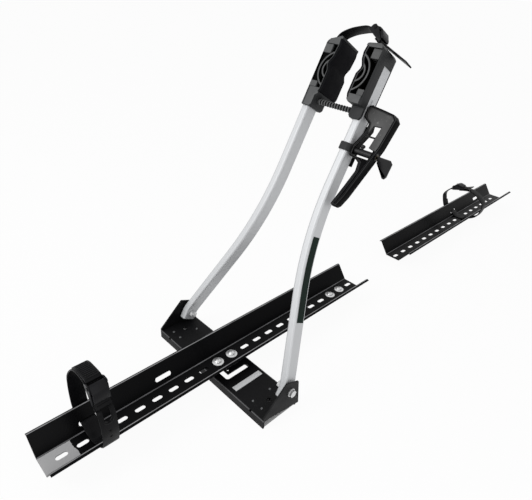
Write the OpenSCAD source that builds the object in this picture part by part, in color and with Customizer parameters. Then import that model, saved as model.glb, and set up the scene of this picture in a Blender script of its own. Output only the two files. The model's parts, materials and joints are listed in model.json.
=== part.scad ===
// Roof mounted bicycle carrier: a pressed cross plate carries a slotted wheel rail and two folding
// tube arms, whose padded jaws hold the bicycle's down tube under a ratchet strap. A second, shorter
// wheel rail stands in line behind the first. Millimetres, +X along the rails to the rear, +Y to the
// left, +Z up. The origin is the middle of the plate's underside, where the roof bar seats.

/* [Cross plate] */
// Length of the plate, along the roof bar
plate_len = 318; // [290:1:350]
// Width of the plate, along the rail
plate_w = 84; // [76:1:110]
// Thickness of the plate's sheet
plate_t = 3; // [2:0.5:4]
// Depth of the down-turned flanges, from the plate's top
flange_h = 18.5; // [14:0.5:30]
// Height of the upturned end tabs above the plate's top
tab_h = 55; // [50:1:68]
// Diameter of the clamp bolt holes near the plate's ends
clamp_hole_d = 9; // [6:0.5:12]
// Distance between the two clamp bolt holes
clamp_hole_gap = 260; // [230:1:270]
// Width of the bent slot beside the rail
bent_slot_w = 11; // [8:0.5:13]
// Diameter of the small rivets near the plate's ends
rivet_d = 5; // [3:0.5:6]
// Height of a rivet's head
rivet_h = 1.2; // [0.8:0.1:2]
// Distance of the outer rivets from the plate's end
rivet_in = 23; // [18:1:26]
// Distance between the outer and the inner rivets
rivet_gap = 23; // [16:1:26]
// Distance of the front rivets from the plate's front edge
rivet_front = 18; // [14:1:24]
// Distance of the rear rivets from the plate's rear edge
rivet_back = 23; // [14:1:24]
// Length of the bare rating plate
label_len = 67; // [40:1:80]
// Width of the bare rating plate
label_w = 11.5; // [8:0.5:16]

/* [Rails] */
// Length of the main rail
rail_len = 781; // [720:1:860]
// Length of the rear rail
rear_len = 687; // [600:1:760]
// Gap between the two rails
rail_gap = 193; // [150:1:260]
// Distance from the main rail's front end to the plate's middle
rail_reach = 357; // [340:1:375]
// How far the rails sit to the left of the plate's middle
rail_offset = 4; // [0:0.5:5]
// Thickness of the rails' sheet
rail_t = 2; // [1.5:0.25:2.5]
// Width of a rail's flat base
rail_base = 39; // [36:0.5:46]
// Width across a rail's walls at the top
rail_top = 89; // [82:1:96]
// Height of a rail
rail_h = 36.5; // [33:0.5:42]
// Width of the hem along each wall's top edge
hem_w = 4.5; // [3:0.5:8]
// Spacing of the main rail's slots
slot_pitch = 35; // [34:0.5:37]
// Spacing of the rear rail's slots
rear_pitch = 39.5; // [34:0.5:42]
// Length of a base slot
slot_len = 20; // [16:0.5:24]
// Width of a base slot
slot_w = 9; // [8.5:0.5:12]
// Length of a wall slot for a wheel strap
wall_slot_len = 34; // [32:1:40]
// Height of a wall slot's opening
wall_slot_w = 8; // [7:0.5:10]
// Diameter of the rail bolts
rail_bolt_d = 8; // [6:0.5:8]
// Diameter of a rail bolt's round washer
rail_washer_d = 23; // [18:0.5:26]

/* [Arms] */
// Lean of the arms from upright, toward the rear
arm_lean = 28.5; // [20:0.5:35]
// Distance of the arms' pivot behind the plate's middle
pivot_x = 25; // [18:1:28]
// Height of the arms' pivot above the plate's top
pivot_h = 25; // [23:1:30]
// Diameter of the pivot bolts
pivot_bolt_d = 8; // [6:0.5:10]
// Length of an arm above its pivot
arm_len = 598; // [570:1:640]
// Wide side of the rectangular tube
tube_w = 30; // [28:0.5:32]
// Narrow side of the rectangular tube
tube_t = 16; // [15:0.5:18]
// Radius of the tube's rounded edges
tube_r = 4; // [3:0.25:6]
// Wall of the tube
tube_wall = 2; // [1.5:0.25:2.5]
// Distance of each arm's upper straight from the middle
arm_y = 59; // [57:0.5:62]
// Height of the upper bend along an arm
bend_s = 261; // [245:1:275]
// Radius of the upper bend
bend_r = 640; // [400:10:800]
// Radius of the bend above the foot
foot_bend_r = 40; // [30:5:60]
// Length of the plain dark decal on the right arm
decal_len = 160; // [80:1:170]
// Width of the plain dark decal
decal_w = 20; // [8:0.5:22]

/* [Jaws] */
// Length of a jaw's block along its arm
jaw_len = 105; // [96:1:115]
// Reach of a jaw's deep side from the arm's middle
jaw_reach = 38; // [34:0.5:42]
// Depth of the left jaw's front before the arm, with open cells in it
left_cover = 6.4; // [2:0.2:8]
// Depth of the right jaw's back behind the arm
right_cover = 2.4; // [2:0.2:3]
// Wall of a jaw
jaw_wall = 3; // [2:0.25:4]
// Distance from the middle to a pad's gripping face
grip_y = 33; // [31:0.5:35]
// Thickness of the rubber pad
pad_t = 4; // [3:0.5:5]
// Radius of the outer ring rib in a jaw
ring_big_r = 34; // [30:0.5:36]
// Radius of the inner ring rib in a jaw
ring_small_r = 17; // [12:0.5:22]
// Height of a jaw's foot
jaw_foot_h = 21; // [19:1:26]
// Diameter of the tie rod between the jaws
tie_rod_d = 8; // [6:0.5:9]
// Number of ribs on the sleeve over the tie rod
sleeve_ribs = 14; // [8:1:20]

/* [Lever and lock] */
// Distance of the lever's pivot below the arm's top end
lever_drop = 88; // [82:1:96]
// Depth of the lever, front to back
lever_depth = 20; // [18:0.5:24]
// Rim of the lever's channel section
lever_rim = 3.5; // [3:0.25:4.5]
// Diameter of the lever's pivot pin
lever_pin_d = 5; // [4:0.5:6]
// Distance of the lock barrel below the lever's pivot
barrel_drop = 72; // [68:1:76]
// Diameter of the lock barrel
barrel_d = 12; // [11:0.5:13]
// Diameter of the lock's turning core
core_d = 8; // [6:0.5:8.5]
// Thickness of the key's bow
key_t = 3; // [2:0.25:4]

/* [Straps and buckles] */
// Width of every strap
strap_w = 25; // [22:0.5:28]
// Thickness of every strap
strap_t = 2.5; // [2:0.25:2.75]
// Height of the ladder teeth
tooth_h = 0.8; // [0.5:0.1:1]
// Spacing of the ladder teeth
tooth_pitch = 4; // [3:0.25:6]
// Length of a buckle's frame
buckle_len = 36; // [34:1:42]
// Wall of a buckle's cheeks and floor
buckle_wall = 2; // [1.5:0.25:2.5]
// Diameter of a buckle's hinge pin
buckle_pin_d = 4; // [3:0.25:4.5]

/* [Hidden] */
$fn = 64;

// Clearances: a turning pin, a part seated in another, and two parts that pass each other
pin_gap = 0.05;
seat_gap = 0.1;
pass_gap = 0.3;
eps = 0.01;

// Levels
plate_top = plate_t;
rail_floor = plate_top + rail_t;
rail_x0 = -rail_reach;
rear_x0 = rail_x0 + rail_len + rail_gap;
first_slot = rail_x0 + 31.5;
slot_count = floor((rail_len - 31.5 - slot_len / 2 - 3) / slot_pitch) + 1;
rear_first_slot = rear_x0 + 16;
rear_slot_count = floor((rear_len - 16 - slot_len / 2 - 3) / rear_pitch) + 1;
plate_slot = floor((pivot_x - first_slot) / slot_pitch);
rail_bolt_x = [
    for (k = [plate_slot - 1, plate_slot, slot_count - 3, slot_count - 2]) first_slot + k * slot_pitch];

// Rail section: the middle of the sheet, in the Y-Z plane
wall_top_y = rail_top / 2;
hem_y = wall_top_y + hem_w;
rail_mid = [
    [-hem_y, rail_h - 2 * rail_t], [-wall_top_y, rail_h - rail_t / 2], [-rail_base / 2, rail_t / 2],
    [rail_base / 2, rail_t / 2], [wall_top_y, rail_h - rail_t / 2], [hem_y, rail_h - 2 * rail_t]];
rail_bend_r = 3;
wall_slot_z = 13;
wall_slot_y = rail_base / 2 + (wall_top_y - rail_base / 2) * wall_slot_z / rail_h;
front_strap_x = rail_x0 + 91.5;
front_spare_slot_x = rail_x0 + 238;
rear_strap_x = rear_x0 + 407;
rear_spare_slot_x = rear_x0 + 575;

// Arms, in a frame whose X is square to the arms' plane and whose Z runs up along them
pivot_z = plate_top + pivot_h;
tab_in = plate_len / 2 - plate_t;
pivot_washer_t = 1.6;
foot_y = tab_in - pivot_washer_t - 2 * seat_gap - tube_t / 2;
foot_s = 6;
foot_end = tube_w / 2;
splay = atan((foot_y - arm_y) / (bend_s - foot_s));
foot_tan = foot_bend_r * tan(splay / 2);
bend_tan = bend_r * tan(splay / 2);
splay_len = norm([foot_y - arm_y, bend_s - foot_s]);
arm_out = arm_y + tube_t / 2;

// Jaws
function jaw_front(cover) = -tube_w / 2 - seat_gap - cover;
cell_wall = 2;
jaw_top = arm_len + 14;
jaw_low = jaw_top - jaw_len;
jaw_foot = jaw_low - jaw_foot_h;
jaw_out = arm_out + 2;
seat_s = jaw_low + 51;
notch_s = seat_s + 10;
foot_in = grip_y + 10;
tie_s = jaw_low - 5;
sleeve_d = tie_rod_d + 3;

// Lever: pivot, lock and outline in the Y-Z plane of the arms' frame, on the right arm
lever_s = arm_len - lever_drop;
lever_hub_r = 8;
lever_y = arm_out + 0.5 + lever_hub_r;
lug_w = lever_depth - 2 * 5.4;
lug_t = 1.8;
lug_room = 3.5;
barrel_s = lever_s - barrel_drop;
collar_h = 14;
collar_wall = 3.3;
collar_out = arm_out + seat_gap + collar_wall;
barrel_in = collar_out + pass_gap;
barrel_out = barrel_in + 48.5;
strip_t = 2;

// Straps and buckles: how the layers stack in a buckle, from the ladder's middle
floor_top = -strap_t / 2 - pass_gap;
floor_low = floor_top - buckle_wall;
drum_r = buckle_pin_d / 2 + 2.2;
pin_h = strap_t / 2 + tooth_h + pass_gap + drum_r;
pin_x = buckle_len / 2 - drum_r - 3;
lay_gap = 0.02;
under_z = floor_low - lay_gap - strap_t / 2;
cheek_in = strap_w / 2 + pass_gap;
cheek_out = cheek_in + buckle_wall;

function unit(v) = v / norm(v);
function left_of(v) = [-v[1], v[0]];
function flip(list) = [for (i = [len(list) - 1 : -1 : 0]) list[i]];

// Points of the arc that rounds corner b of a path from a to c
function corner_arc(a, b, c, r, n) =
    let (u = unit(a - b),
         w = unit(c - b),
         half = acos(u * w) / 2,
         o = b + unit(u + w) * r / sin(half),
         p = b + u * r / tan(half) - o,
         q = b + w * r / tan(half) - o,
         start = atan2(p[1], p[0]),
         turn = (atan2(q[1], q[0]) - start + 540) % 360 - 180)
    [for (i = [0 : n]) o + r * [cos(start + turn * i / n), sin(start + turn * i / n)]];

// A path with each of its inner corners rounded to radius r
function rounded_path(pts, r, n) = [
    pts[0],
    for (i = [1 : len(pts) - 2]) each corner_arc(pts[i - 1], pts[i], pts[i + 1], r, n),
    pts[len(pts) - 1]];

// A closed outline with its corners rounded to radius r
function rounded_loop(pts, r, n) = [
    for (i = [0 : len(pts) - 1])
        each corner_arc(pts[(i + len(pts) - 1) % len(pts)], pts[i], pts[(i + 1) % len(pts)], r, n)];

// The place between b and c on a smooth curve through a, b, c and d
function curve_at(a, b, c, d, t) =
    0.5 * (2 * b + (c - a) * t + (2 * a - 5 * b + 4 * c - d) * t * t
           + (3 * b - a - 3 * c + d) * t * t * t);

// A smooth curve through all the points
function smooth(pts, n) = [
    for (i = [0 : len(pts) - 2])
        for (k = [0 : n - 1])
            curve_at(pts[max(i - 1, 0)], pts[i], pts[i + 1], pts[min(i + 2, len(pts) - 1)], k / n),
    pts[len(pts) - 1]];

// The path moved sideways by d, to its left
function beside(path, d) = [
    for (i = [0 : len(path) - 1])
        let (last = len(path) - 1,
             before = unit(path[max(i, 1)] - path[max(i, 1) - 1]),
             after = unit(path[min(i + 1, last)] - path[min(i, last - 1)]),
             m = unit(before + after))
        path[i] + left_of(m) * d / (m * after)];

// Length of a path up to its point i
function length_to(path, i) = i == 0 ? 0 : length_to(path, i - 1) + norm(path[i] - path[i - 1]);

// A closed outline drawn in by d; its points run anticlockwise
function drawn_in(loop, d) = [
    for (i = [0 : len(loop) - 1])
        let (count = len(loop),
             before = unit(loop[i] - loop[(i + count - 1) % count]),
             after = unit(loop[(i + 1) % count] - loop[i]),
             m = unit(before + after))
        loop[i] + left_of(m) * d / (m * after)];

// A place in a buckle, x along the strap and z off it, as a point of the strap's own plane
function in_buckle(at, turn, x, z) =
    at + x * [cos(turn), sin(turn)] + z * [-sin(turn), cos(turn)];

// A strip of thickness t centred on a path
module ribbon(path, t) {
    polygon(concat(beside(path, t / 2), flip(beside(path, -t / 2))));
}

// A slot's outline, centred, along X
module stadium(len, w) {
    square([len - w, w], center = true);
    for (side = [-1, 1])
        translate([side * (len - w) / 2, 0]) circle(d = w);
}

// Lifts an outline drawn in the Y-Z plane and gives it a width along X, centred
module across_x(w) {
    translate([-w / 2, 0, 0]) rotate([90, 0, 90]) linear_extrude(w) children();
}

// A cylinder along Y, from y0 to y1
module y_rod(d, y0, y1) {
    translate([0, y1, 0]) rotate([90, 0, 0]) cylinder(d = d, h = y1 - y0);
}

module hex_prism(flats, h) {
    cylinder(d = flats / cos(30), h = h, $fn = 6);
}

module mirrored_y() {
    children();
    mirror([0, 1, 0]) children();
}

// The arms' own frame
module arm_frame() {
    translate([pivot_x, 0, pivot_z]) rotate([0, arm_lean, 0]) children();
}

// The frame of a rail: its front end at X = 0 and the middle of its base at the origin
module rail_frame(x0) {
    translate([x0, rail_offset, plate_top]) children();
}

// Cross plate

// Upturned end tab, seen along Y: it rises from the front corner to a peak before the pivot and falls
// behind it to a slanted rear edge
module tab_outline() {
    half = plate_w / 2;
    top = plate_top + tab_h;
    polygon(rounded_loop([
        [-half, plate_top], [half + 8, plate_top - flange_h], [half + 2, top - 15], [pivot_x - 13, top - 1],
        [-half, plate_top + 4]], 1.5, 4));
}

module tab_holes() {
    translate([pivot_x, 0, pivot_z]) y_rod(pivot_bolt_d + 2 * seat_gap, -plate_len, plate_len);
}

// Bent slot beside the rail, with a tongue inside its corner
module bent_slot() {
    x1 = 25;
    x0 = -21;
    y0 = -38;
    translate([(x0 + x1) / 2, y0]) stadium(x1 - x0 + bent_slot_w, bent_slot_w);
    translate([x0, y0 + 10]) rotate(90) stadium(20 + bent_slot_w, bent_slot_w);
    translate([-9, -24]) circle(d = 5);
}

module cross_plate() {
    half = plate_w / 2;
    color([0.07, 0.07, 0.075])
    difference() {
        union() {
            translate([-half, -plate_len / 2, 0]) cube([plate_w, plate_len, plate_t]);
            for (x = [-half, half - plate_t])
                translate([x, -plate_len / 2, plate_top - flange_h])
                    cube([plate_t, plate_len, flange_h]);
            mirrored_y()
                translate([0, plate_len / 2, 0]) rotate([90, 0, 0])
                    linear_extrude(plate_t) tab_outline();
        }
        tab_holes();
        translate([0, 0, -1]) linear_extrude(plate_t + 2) bent_slot();
        mirrored_y() {
            translate([0, clamp_hole_gap / 2, -1]) cylinder(d = clamp_hole_d, h = plate_t + 2);
            translate([-half, 125, -1]) cylinder(d = 6, h = plate_t + 2);
        }
        for (x = [rail_bolt_x[0], rail_bolt_x[1]])
            translate([x, rail_offset, -1]) cylinder(d = rail_bolt_d + 2 * seat_gap, h = plate_t + 2);
    }
}

// Three small round rivets near each end of the plate
module plate_rivets() {
    front = rivet_front - plate_w / 2;
    back = plate_w / 2 - rivet_back;
    outer = plate_len / 2 - rivet_in;
    inner = outer - rivet_gap;
    color([0.3, 0.3, 0.31])
    mirrored_y()
        for (p = [[front, inner], [front, outer], [back, inner]])
            translate([p[0], p[1], plate_top]) cylinder(d1 = rivet_d, d2 = 0.7 * rivet_d, h = rivet_h);
}

module rating_plate() {
    color([0.72, 0.73, 0.74])
    translate([1.5 - label_len / 2, -70 - label_w / 2, plate_top]) cube([label_len, label_w, 0.6]);
}

// Rails

module rail_section() {
    ribbon(rounded_path(rail_mid, rail_bend_r, 5), rail_t);
}

module base_slots(first, pitch, count) {
    for (k = [0 : count - 1])
        translate([first + k * pitch, 0, -1]) linear_extrude(rail_t + 2) stadium(slot_len, slot_w);
}

module wall_slot(x) {
    translate([x, hem_y, wall_slot_z]) rotate([90, 0, 0])
        linear_extrude(2 * hem_y) stadium(wall_slot_len, wall_slot_w);
}

module main_rail() {
    color([0.05, 0.05, 0.055])
    rail_frame(0) difference() {
        translate([rail_x0, 0, 0]) rotate([90, 0, 90]) linear_extrude(rail_len) rail_section();
        base_slots(first_slot, slot_pitch, slot_count);
        wall_slot(front_strap_x);
        wall_slot(front_spare_slot_x);
    }
}

module rear_rail() {
    color([0.05, 0.05, 0.055])
    rail_frame(0) difference() {
        translate([rear_x0, 0, 0]) rotate([90, 0, 90]) linear_extrude(rear_len) rail_section();
        base_slots(rear_first_slot, rear_pitch, rear_slot_count);
        wall_slot(rear_strap_x);
        wall_slot(rear_spare_slot_x);
    }
}

// Button headed bolts: two hold the rail on the plate and two wait at the rail's far end
rail_washer_t = 2;
button_d = 1.75 * rail_bolt_d;
button_h = 0.6 * rail_bolt_d;

module rail_bolt(grip) {
    difference() {
        union() {
            intersection() {
                cylinder(d = button_d, h = button_h);
                translate([0, 0, button_h - button_d * 0.62]) sphere(d = 1.24 * button_d);
            }
            translate([0, 0, -grip - 9]) cylinder(d = rail_bolt_d, h = grip + 9 + eps);
        }
        translate([0, 0, button_h - 2.8]) hex_prism(0.6 * rail_bolt_d, 4);
    }
}

module at_rail_bolts() {
    for (k = [0 : len(rail_bolt_x) - 1])
        translate([rail_bolt_x[k], rail_offset, rail_floor]) {
            $grip = k < 2 ? rail_t + plate_t : rail_t;
            children();
        }
}

module rail_bolts() {
    color([0.75, 0.76, 0.77])
    at_rail_bolts() translate([0, 0, rail_washer_t]) rail_bolt($grip + rail_washer_t);
}

module rail_washers() {
    color([0.82, 0.82, 0.81])
    at_rail_bolts() difference() {
        rotate_extrude() polygon([
            [0, 0], [rail_washer_d / 2, 0], [rail_washer_d / 2, 0.8],
            [rail_washer_d / 2 - 4, rail_washer_t], [0, rail_washer_t]]);
        translate([0, 0, -1]) cylinder(d = rail_bolt_d + 2 * seat_gap, h = rail_washer_t + 2);
    }
}

module rail_nuts() {
    color([0.7, 0.71, 0.72])
    at_rail_bolts() translate([0, 0, -$grip - 6.5]) difference() {
        hex_prism(1.625 * rail_bolt_d, 6.5);
        translate([0, 0, -1]) cylinder(d = rail_bolt_d + 2 * seat_gap, h = 9);
    }
}

// Arm pivots: a hexagon bolt through each end tab and arm, with a washer between them

module at_pivots() {
    translate([pivot_x, 0, pivot_z]) mirrored_y() children();
}

module pivot_bolts() {
    color([0.72, 0.73, 0.74])
    at_pivots() {
        y_rod(pivot_bolt_d, foot_y - tube_t / 2 - 10, plate_len / 2 + 1);
        y_rod(2.1 * pivot_bolt_d, plate_len / 2, plate_len / 2 + 1.6);
        translate([0, plate_len / 2 + 1.6, 0]) rotate([-90, 0, 0]) hex_prism(1.625 * pivot_bolt_d, 5);
    }
}

module pivot_washers() {
    color([0.7, 0.7, 0.7])
    at_pivots() difference() {
        y_rod(2 * pivot_bolt_d, tab_in - pivot_washer_t, tab_in);
        y_rod(pivot_bolt_d + 2 * seat_gap, foot_y, plate_len);
    }
}

// Room between a pivot nut and its arm, whose bend starts beside it
nut_room = 1.7;

module pivot_nuts() {
    y1 = foot_y - tube_t / 2 - nut_room;
    color([0.78, 0.78, 0.78])
    at_pivots() difference() {
        translate([0, y1, 0]) rotate([90, 0, 0]) hex_prism(1.625 * pivot_bolt_d, 7);
        y_rod(pivot_bolt_d + 2 * seat_gap, 0, plate_len);
    }
}

// Arms

// The tube's outline, grown by a margin
module tube_outline(grow) {
    w = tube_w + 2 * grow;
    t = tube_t + 2 * grow;
    r = tube_r + grow;
    square([w - 2 * r, t], center = true);
    square([w, t - 2 * r], center = true);
    for (x = [-1, 1], y = [-1, 1])
        translate([x * (w / 2 - r), y * (t / 2 - r)]) circle(r = r);
}

// A bent piece of tube, grown by a margin: it starts upward and turns toward -Y. It is a hair fuller
// than the straight runs and laps a little way over each of them
bend_skin = 0.12;
bend_lap = 1.5;

function lap_turn(r) = bend_lap / r * 180 / PI;

module tube_bend(r, grow) {
    translate([0, -r, 0]) rotate([90, 0, 90]) rotate([0, 0, -lap_turn(r)])
        rotate_extrude(angle = splay + 2 * lap_turn(r))
            translate([r, 0]) rotate(90) tube_outline(grow + bend_skin);
}

module tube_run(len, grow) {
    linear_extrude(len) tube_outline(grow);
}

// Places its children on the arm's sloping middle straight, at a distance above the foot's corner
module on_splay(along) {
    translate([0, foot_y, foot_s]) rotate([splay, 0, 0]) translate([0, 0, along]) children();
}

// The left arm's run from foot to top as a solid bar, grown by a margin and longer by ends
module tube_path(grow, ends) {
    translate([0, foot_y, -foot_end - ends]) tube_run(foot_end + ends + foot_s - foot_tan, grow);
    translate([0, foot_y, foot_s - foot_tan]) tube_bend(foot_bend_r, grow);
    on_splay(foot_tan) tube_run(splay_len - foot_tan - bend_tan, grow);
    on_splay(splay_len - bend_tan) mirror([0, 1, 0]) tube_bend(bend_r, grow);
    translate([0, arm_y, bend_s + bend_tan]) tube_run(arm_len - bend_s - bend_tan + ends, grow);
}

module left_tube() {
    difference() {
        tube_path(0, 0);
        tube_path(-tube_wall, 1);
        y_rod(pivot_bolt_d + 2 * pin_gap, 0, plate_len);
    }
}

module left_arm() {
    color([0.78, 0.79, 0.8]) arm_frame() left_tube();
}

module right_arm() {
    color([0.78, 0.79, 0.8]) arm_frame() mirror([0, 1, 0]) left_tube();
}

// Rounded plastic plugs that close the arms' lower ends
module arm_plugs() {
    color([0.08, 0.08, 0.085])
    arm_frame() mirrored_y() translate([0, foot_y, -foot_end]) {
        tube_run(8, -tube_wall - seat_gap);
        translate([0, 0, -2]) tube_run(2, -0.5);
    }
}

// Plain dark decal just off the outer side of the right arm: it starts on the sloping straight and
// follows the upper bend, which turns about a point outside the arm
decal_t = 0.3;
decal_low = 115;
decal_off = tube_t / 2 + bend_skin + 0.1 + decal_t / 2;
decal_turn = (decal_len - (splay_len - bend_tan - decal_low)) / bend_r * 180 / PI;
function decal_at(turn) =
    [arm_y + bend_r, bend_s + bend_tan] - (bend_r - decal_off) * [cos(turn), sin(turn)];
decal_path = concat(
    [[foot_y, foot_s] + decal_low * [-sin(splay), cos(splay)] + decal_off * [cos(splay), sin(splay)]],
    [for (k = [0 : 12]) decal_at(splay - decal_turn * k / 12)]);

module arm_decal() {
    color([0.03, 0.09, 0.06])
    arm_frame() mirror([0, 1, 0]) across_x(decal_w) ribbon(decal_path, decal_t);
}

// Jaws: one moulding serves both arms, turned half round about the line midway between them

// Gripping face of a pad from its lower end to its upper end; top_in is the jaw's inner top edge
function grip_face(top_in) = [
    [grip_y + 3, jaw_low + 8], [grip_y + 1, jaw_low + 14], [grip_y + 1, notch_s - 12],
    [grip_y + 6, notch_s - 2], [grip_y + 6, notch_s + 3], [grip_y + 0.5, notch_s + 14],
    [grip_y - 1.5, top_in - 16], [grip_y, top_in - 6]];

// The same face moved back by the pad's thickness: the jaw's inner wall
function pad_back(top_in) = [for (p = grip_face(top_in)) p + [pad_t, 0]];

module jaw_block_outline(top_in) {
    low = jaw_low + 8;
    back = pad_back(top_in);
    polygon(concat(
        [[foot_in, jaw_low], [jaw_out, jaw_low], [jaw_out, jaw_top - 8], [jaw_out - 9, jaw_top],
         [grip_y + 4, top_in], [grip_y, top_in - 1.5], [grip_y, top_in - 6 + pass_gap],
         [grip_y + pad_t, top_in - 6 + pass_gap]],
        flip(back),
        [[grip_y + 3 + pad_t, low - pass_gap], [grip_y + 4, low - pass_gap], [grip_y + 5, jaw_low + 4]]));
}

module jaw_foot_outline() {
    polygon(rounded_loop([
        [foot_in, jaw_foot + 4], [foot_in + 4, jaw_foot], [jaw_out - 3, jaw_foot],
        [jaw_out, jaw_foot + 5], [jaw_out, jaw_low + 4], [foot_in, jaw_low + 4]], 1.5, 4));
}

// Plan of a jaw, seen along its arm: the corner outside the arm is well rounded
module jaw_plan(front) {
    a = [front, grip_y - 2];
    b = [jaw_reach, grip_y - 2];
    c = [jaw_reach, jaw_out];
    d = [front, jaw_out];
    polygon(concat(
        corner_arc(d, a, b, 2, 4), corner_arc(a, b, c, 2, 4), corner_arc(b, c, d, 5, 6),
        corner_arc(c, d, a, 8, 8)));
}

// Open cells of a jaw, seen from its front, from a thin wall behind the pad out to y1: ring ribs stand
// round the tube seat
module jaw_cells(top_in, y1) {
    low = jaw_low + 15;
    high = jaw_top - jaw_wall - 6;
    ring_c = [grip_y - 9, seat_s];
    small_c = [grip_y, seat_s + 1];
    difference() {
        intersection() {
            translate([grip_y, low]) square([y1 - grip_y, high - low]);
            polygon(concat(
                [for (p = pad_back(top_in)) p + [cell_wall, 0]],
                [[jaw_out, high], [jaw_out, jaw_low]]));
        }
        difference() {
            translate(ring_c) circle(r = ring_big_r + jaw_wall / 2);
            translate(ring_c) circle(r = ring_big_r - jaw_wall / 2);
        }
        difference() {
            translate(small_c) circle(r = ring_small_r + jaw_wall / 2);
            translate(small_c) circle(r = ring_small_r - jaw_wall / 2);
        }
    }
}

// Depth of a jaw's foot past the arm's face on the jaw's deep side
foot_cover = 5.5;

// Left jaw; top_in is the height of its inner top edge, root_y the place of its strap slot, and cover
// its depth before the arm
module jaw(top_in, root_y, cover) {
    front = jaw_front(cover);
    web_n = tube_w / 2 + seat_gap;
    cell_out = jaw_out - jaw_wall;
    slot_y = strap_t + 2 * pass_gap;
    groove = cover - 1;
    difference() {
        intersection() {
            union() {
                translate([(front + jaw_reach) / 2, 0, 0])
                    across_x(jaw_reach - front) jaw_block_outline(top_in);
                translate([front, 0, 0]) rotate([90, 0, 90])
                    linear_extrude(web_n + foot_cover - front) jaw_foot_outline();
            }
            translate([0, 0, jaw_foot - 1]) linear_extrude(jaw_len + jaw_foot_h + 40) jaw_plan(front);
        }
        translate([0, arm_y, jaw_foot - 1])
            tube_run(arm_len + seat_gap - jaw_foot + 1, seat_gap);
        translate([-web_n, arm_y, jaw_foot - 1])
            cube([2 * web_n, tube_t, jaw_top - 26 - jaw_foot]);
        translate([front + groove / 2, 0, 0]) across_x(groove + eps) jaw_cells(top_in, cell_out);
        translate([(front + web_n) / 2, 0, 0])
            across_x(web_n - front + eps) jaw_cells(top_in, arm_y - tube_t / 2 - seat_gap - 1);
        translate([(jaw_reach + web_n) / 2 + 1, 0, 0])
            across_x(jaw_reach - web_n - 2 + eps) jaw_cells(top_in, cell_out);
        translate([0, 0, tie_s]) y_rod(tie_rod_d + 2 * seat_gap, 0, arm_y);
        translate([-strap_w / 2 - pass_gap, root_y - slot_y / 2, strap_root_s - seat_gap])
            cube([strap_w + 2 * pass_gap, slot_y, 60]);
    }
}

// Height of each jaw's inner top edge: the left one rises toward the strap
left_jaw_top_in = jaw_top + 8;
right_jaw_top_in = jaw_top - 2;

module left_jaw() {
    color([0.09, 0.09, 0.095]) arm_frame() jaw(left_jaw_top_in, strap_root_y, left_cover);
}

module right_jaw() {
    color([0.09, 0.09, 0.095]) arm_frame() rotate([0, 0, 180]) jaw(right_jaw_top_in, tab_root_y, right_cover);
}

// Rubber pad on a jaw's inner wall, with a shallow seat for the bicycle's tube
module pad(top_in, cover) {
    n0 = jaw_front(cover) + 1;
    n1 = jaw_reach - 1;
    translate([(n0 + n1) / 2, 0, 0]) across_x(n1 - n0)
        polygon(concat(grip_face(top_in), flip(pad_back(top_in))));
}

module left_pad() {
    color([0.05, 0.05, 0.05]) arm_frame() pad(left_jaw_top_in, left_cover);
}

module right_pad() {
    color([0.05, 0.05, 0.05]) arm_frame() rotate([0, 0, 180]) pad(right_jaw_top_in, right_cover);
}

// Rod that ties the two jaws' feet together, and its ribbed sleeve
module tie_rod() {
    reach = arm_y - tube_t / 2 - seat_gap;
    color([0.6, 0.6, 0.62]) arm_frame() translate([0, 0, tie_s]) y_rod(tie_rod_d, -reach, reach);
}

module rod_sleeve() {
    half = foot_in - seat_gap;
    pitch = 2 * half / sleeve_ribs;
    r = sleeve_d / 2;
    color([0.1, 0.1, 0.1])
    arm_frame() translate([0, -half, tie_s]) rotate([-90, 0, 0]) rotate_extrude() polygon(concat(
        [[tie_rod_d / 2 + seat_gap, 2 * half], [tie_rod_d / 2 + seat_gap, 0]],
        [for (k = [0 : sleeve_ribs - 1])
            for (p = [[r - 0.9, 0], [r, 0.3], [r, 0.7], [r - 0.9, 1]])
                [p[0], (k + p[1]) * pitch]]));
}

// Straps

module strap(path, w = strap_w) {
    across_x(w) ribbon(path, strap_t);
}

// Ladder teeth on the outer side of a strap, evenly spaced between two shares of its length
module teeth(path, from, to) {
    w = strap_w - 6;
    sunk = 0.2;
    run = [for (i = [0 : len(path) - 1]) length_to(path, i)];
    whole = run[len(path) - 1];
    for (k = [0 : floor((to - from) * whole / tooth_pitch)])
        let (d = from * whole + k * tooth_pitch,
             i = max([for (j = [0 : len(path) - 2]) run[j] <= d ? j : 0]),
             way = unit(path[i + 1] - path[i]),
             m = path[i] + way * (d - run[i]))
            translate([-w / 2, m[0], m[1]]) rotate([atan2(way[1], way[0]), 0, 0])
                translate([0, -tooth_pitch / 5, -strap_t / 2 - tooth_h])
                    cube([w, tooth_pitch * 0.4, tooth_h + sunk]);
}

// Ratchet buckle, in its own frame: X along the strap, Z off the strap, hinge pin along Y at +X
module buckle_frame() {
    difference() {
        union() {
            translate([-buckle_len / 2, -cheek_out, floor_low])
                cube([buckle_len, 2 * cheek_out, buckle_wall]);
            for (side = [-1, 1])
                translate([0, side * (cheek_in + buckle_wall / 2) + buckle_wall / 2, 0]) rotate([90, 0, 0])
                    linear_extrude(buckle_wall) polygon([
                        [-buckle_len / 2, floor_low], [buckle_len / 2, floor_low], [buckle_len / 2, pin_h],
                        [pin_x + drum_r, pin_h + drum_r], [pin_x - drum_r - 1, pin_h + drum_r],
                        [-buckle_len / 2, floor_top + 2.5]]);
        }
        translate([pin_x, 0, pin_h]) y_rod(buckle_pin_d + 2 * pin_gap, -2 * strap_w, 2 * strap_w);
    }
}

module buckle_pin() {
    translate([pin_x, 0, pin_h]) {
        y_rod(buckle_pin_d, -cheek_out - 0.4, cheek_out + 0.4);
        for (side = [-1, 1])
            translate([0, side * (cheek_out + 0.4 + pass_gap / 2), 0]) rotate([90, 0, 0])
                cylinder(d = buckle_pin_d + 2, h = 0.8, center = true);
    }
}

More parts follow.
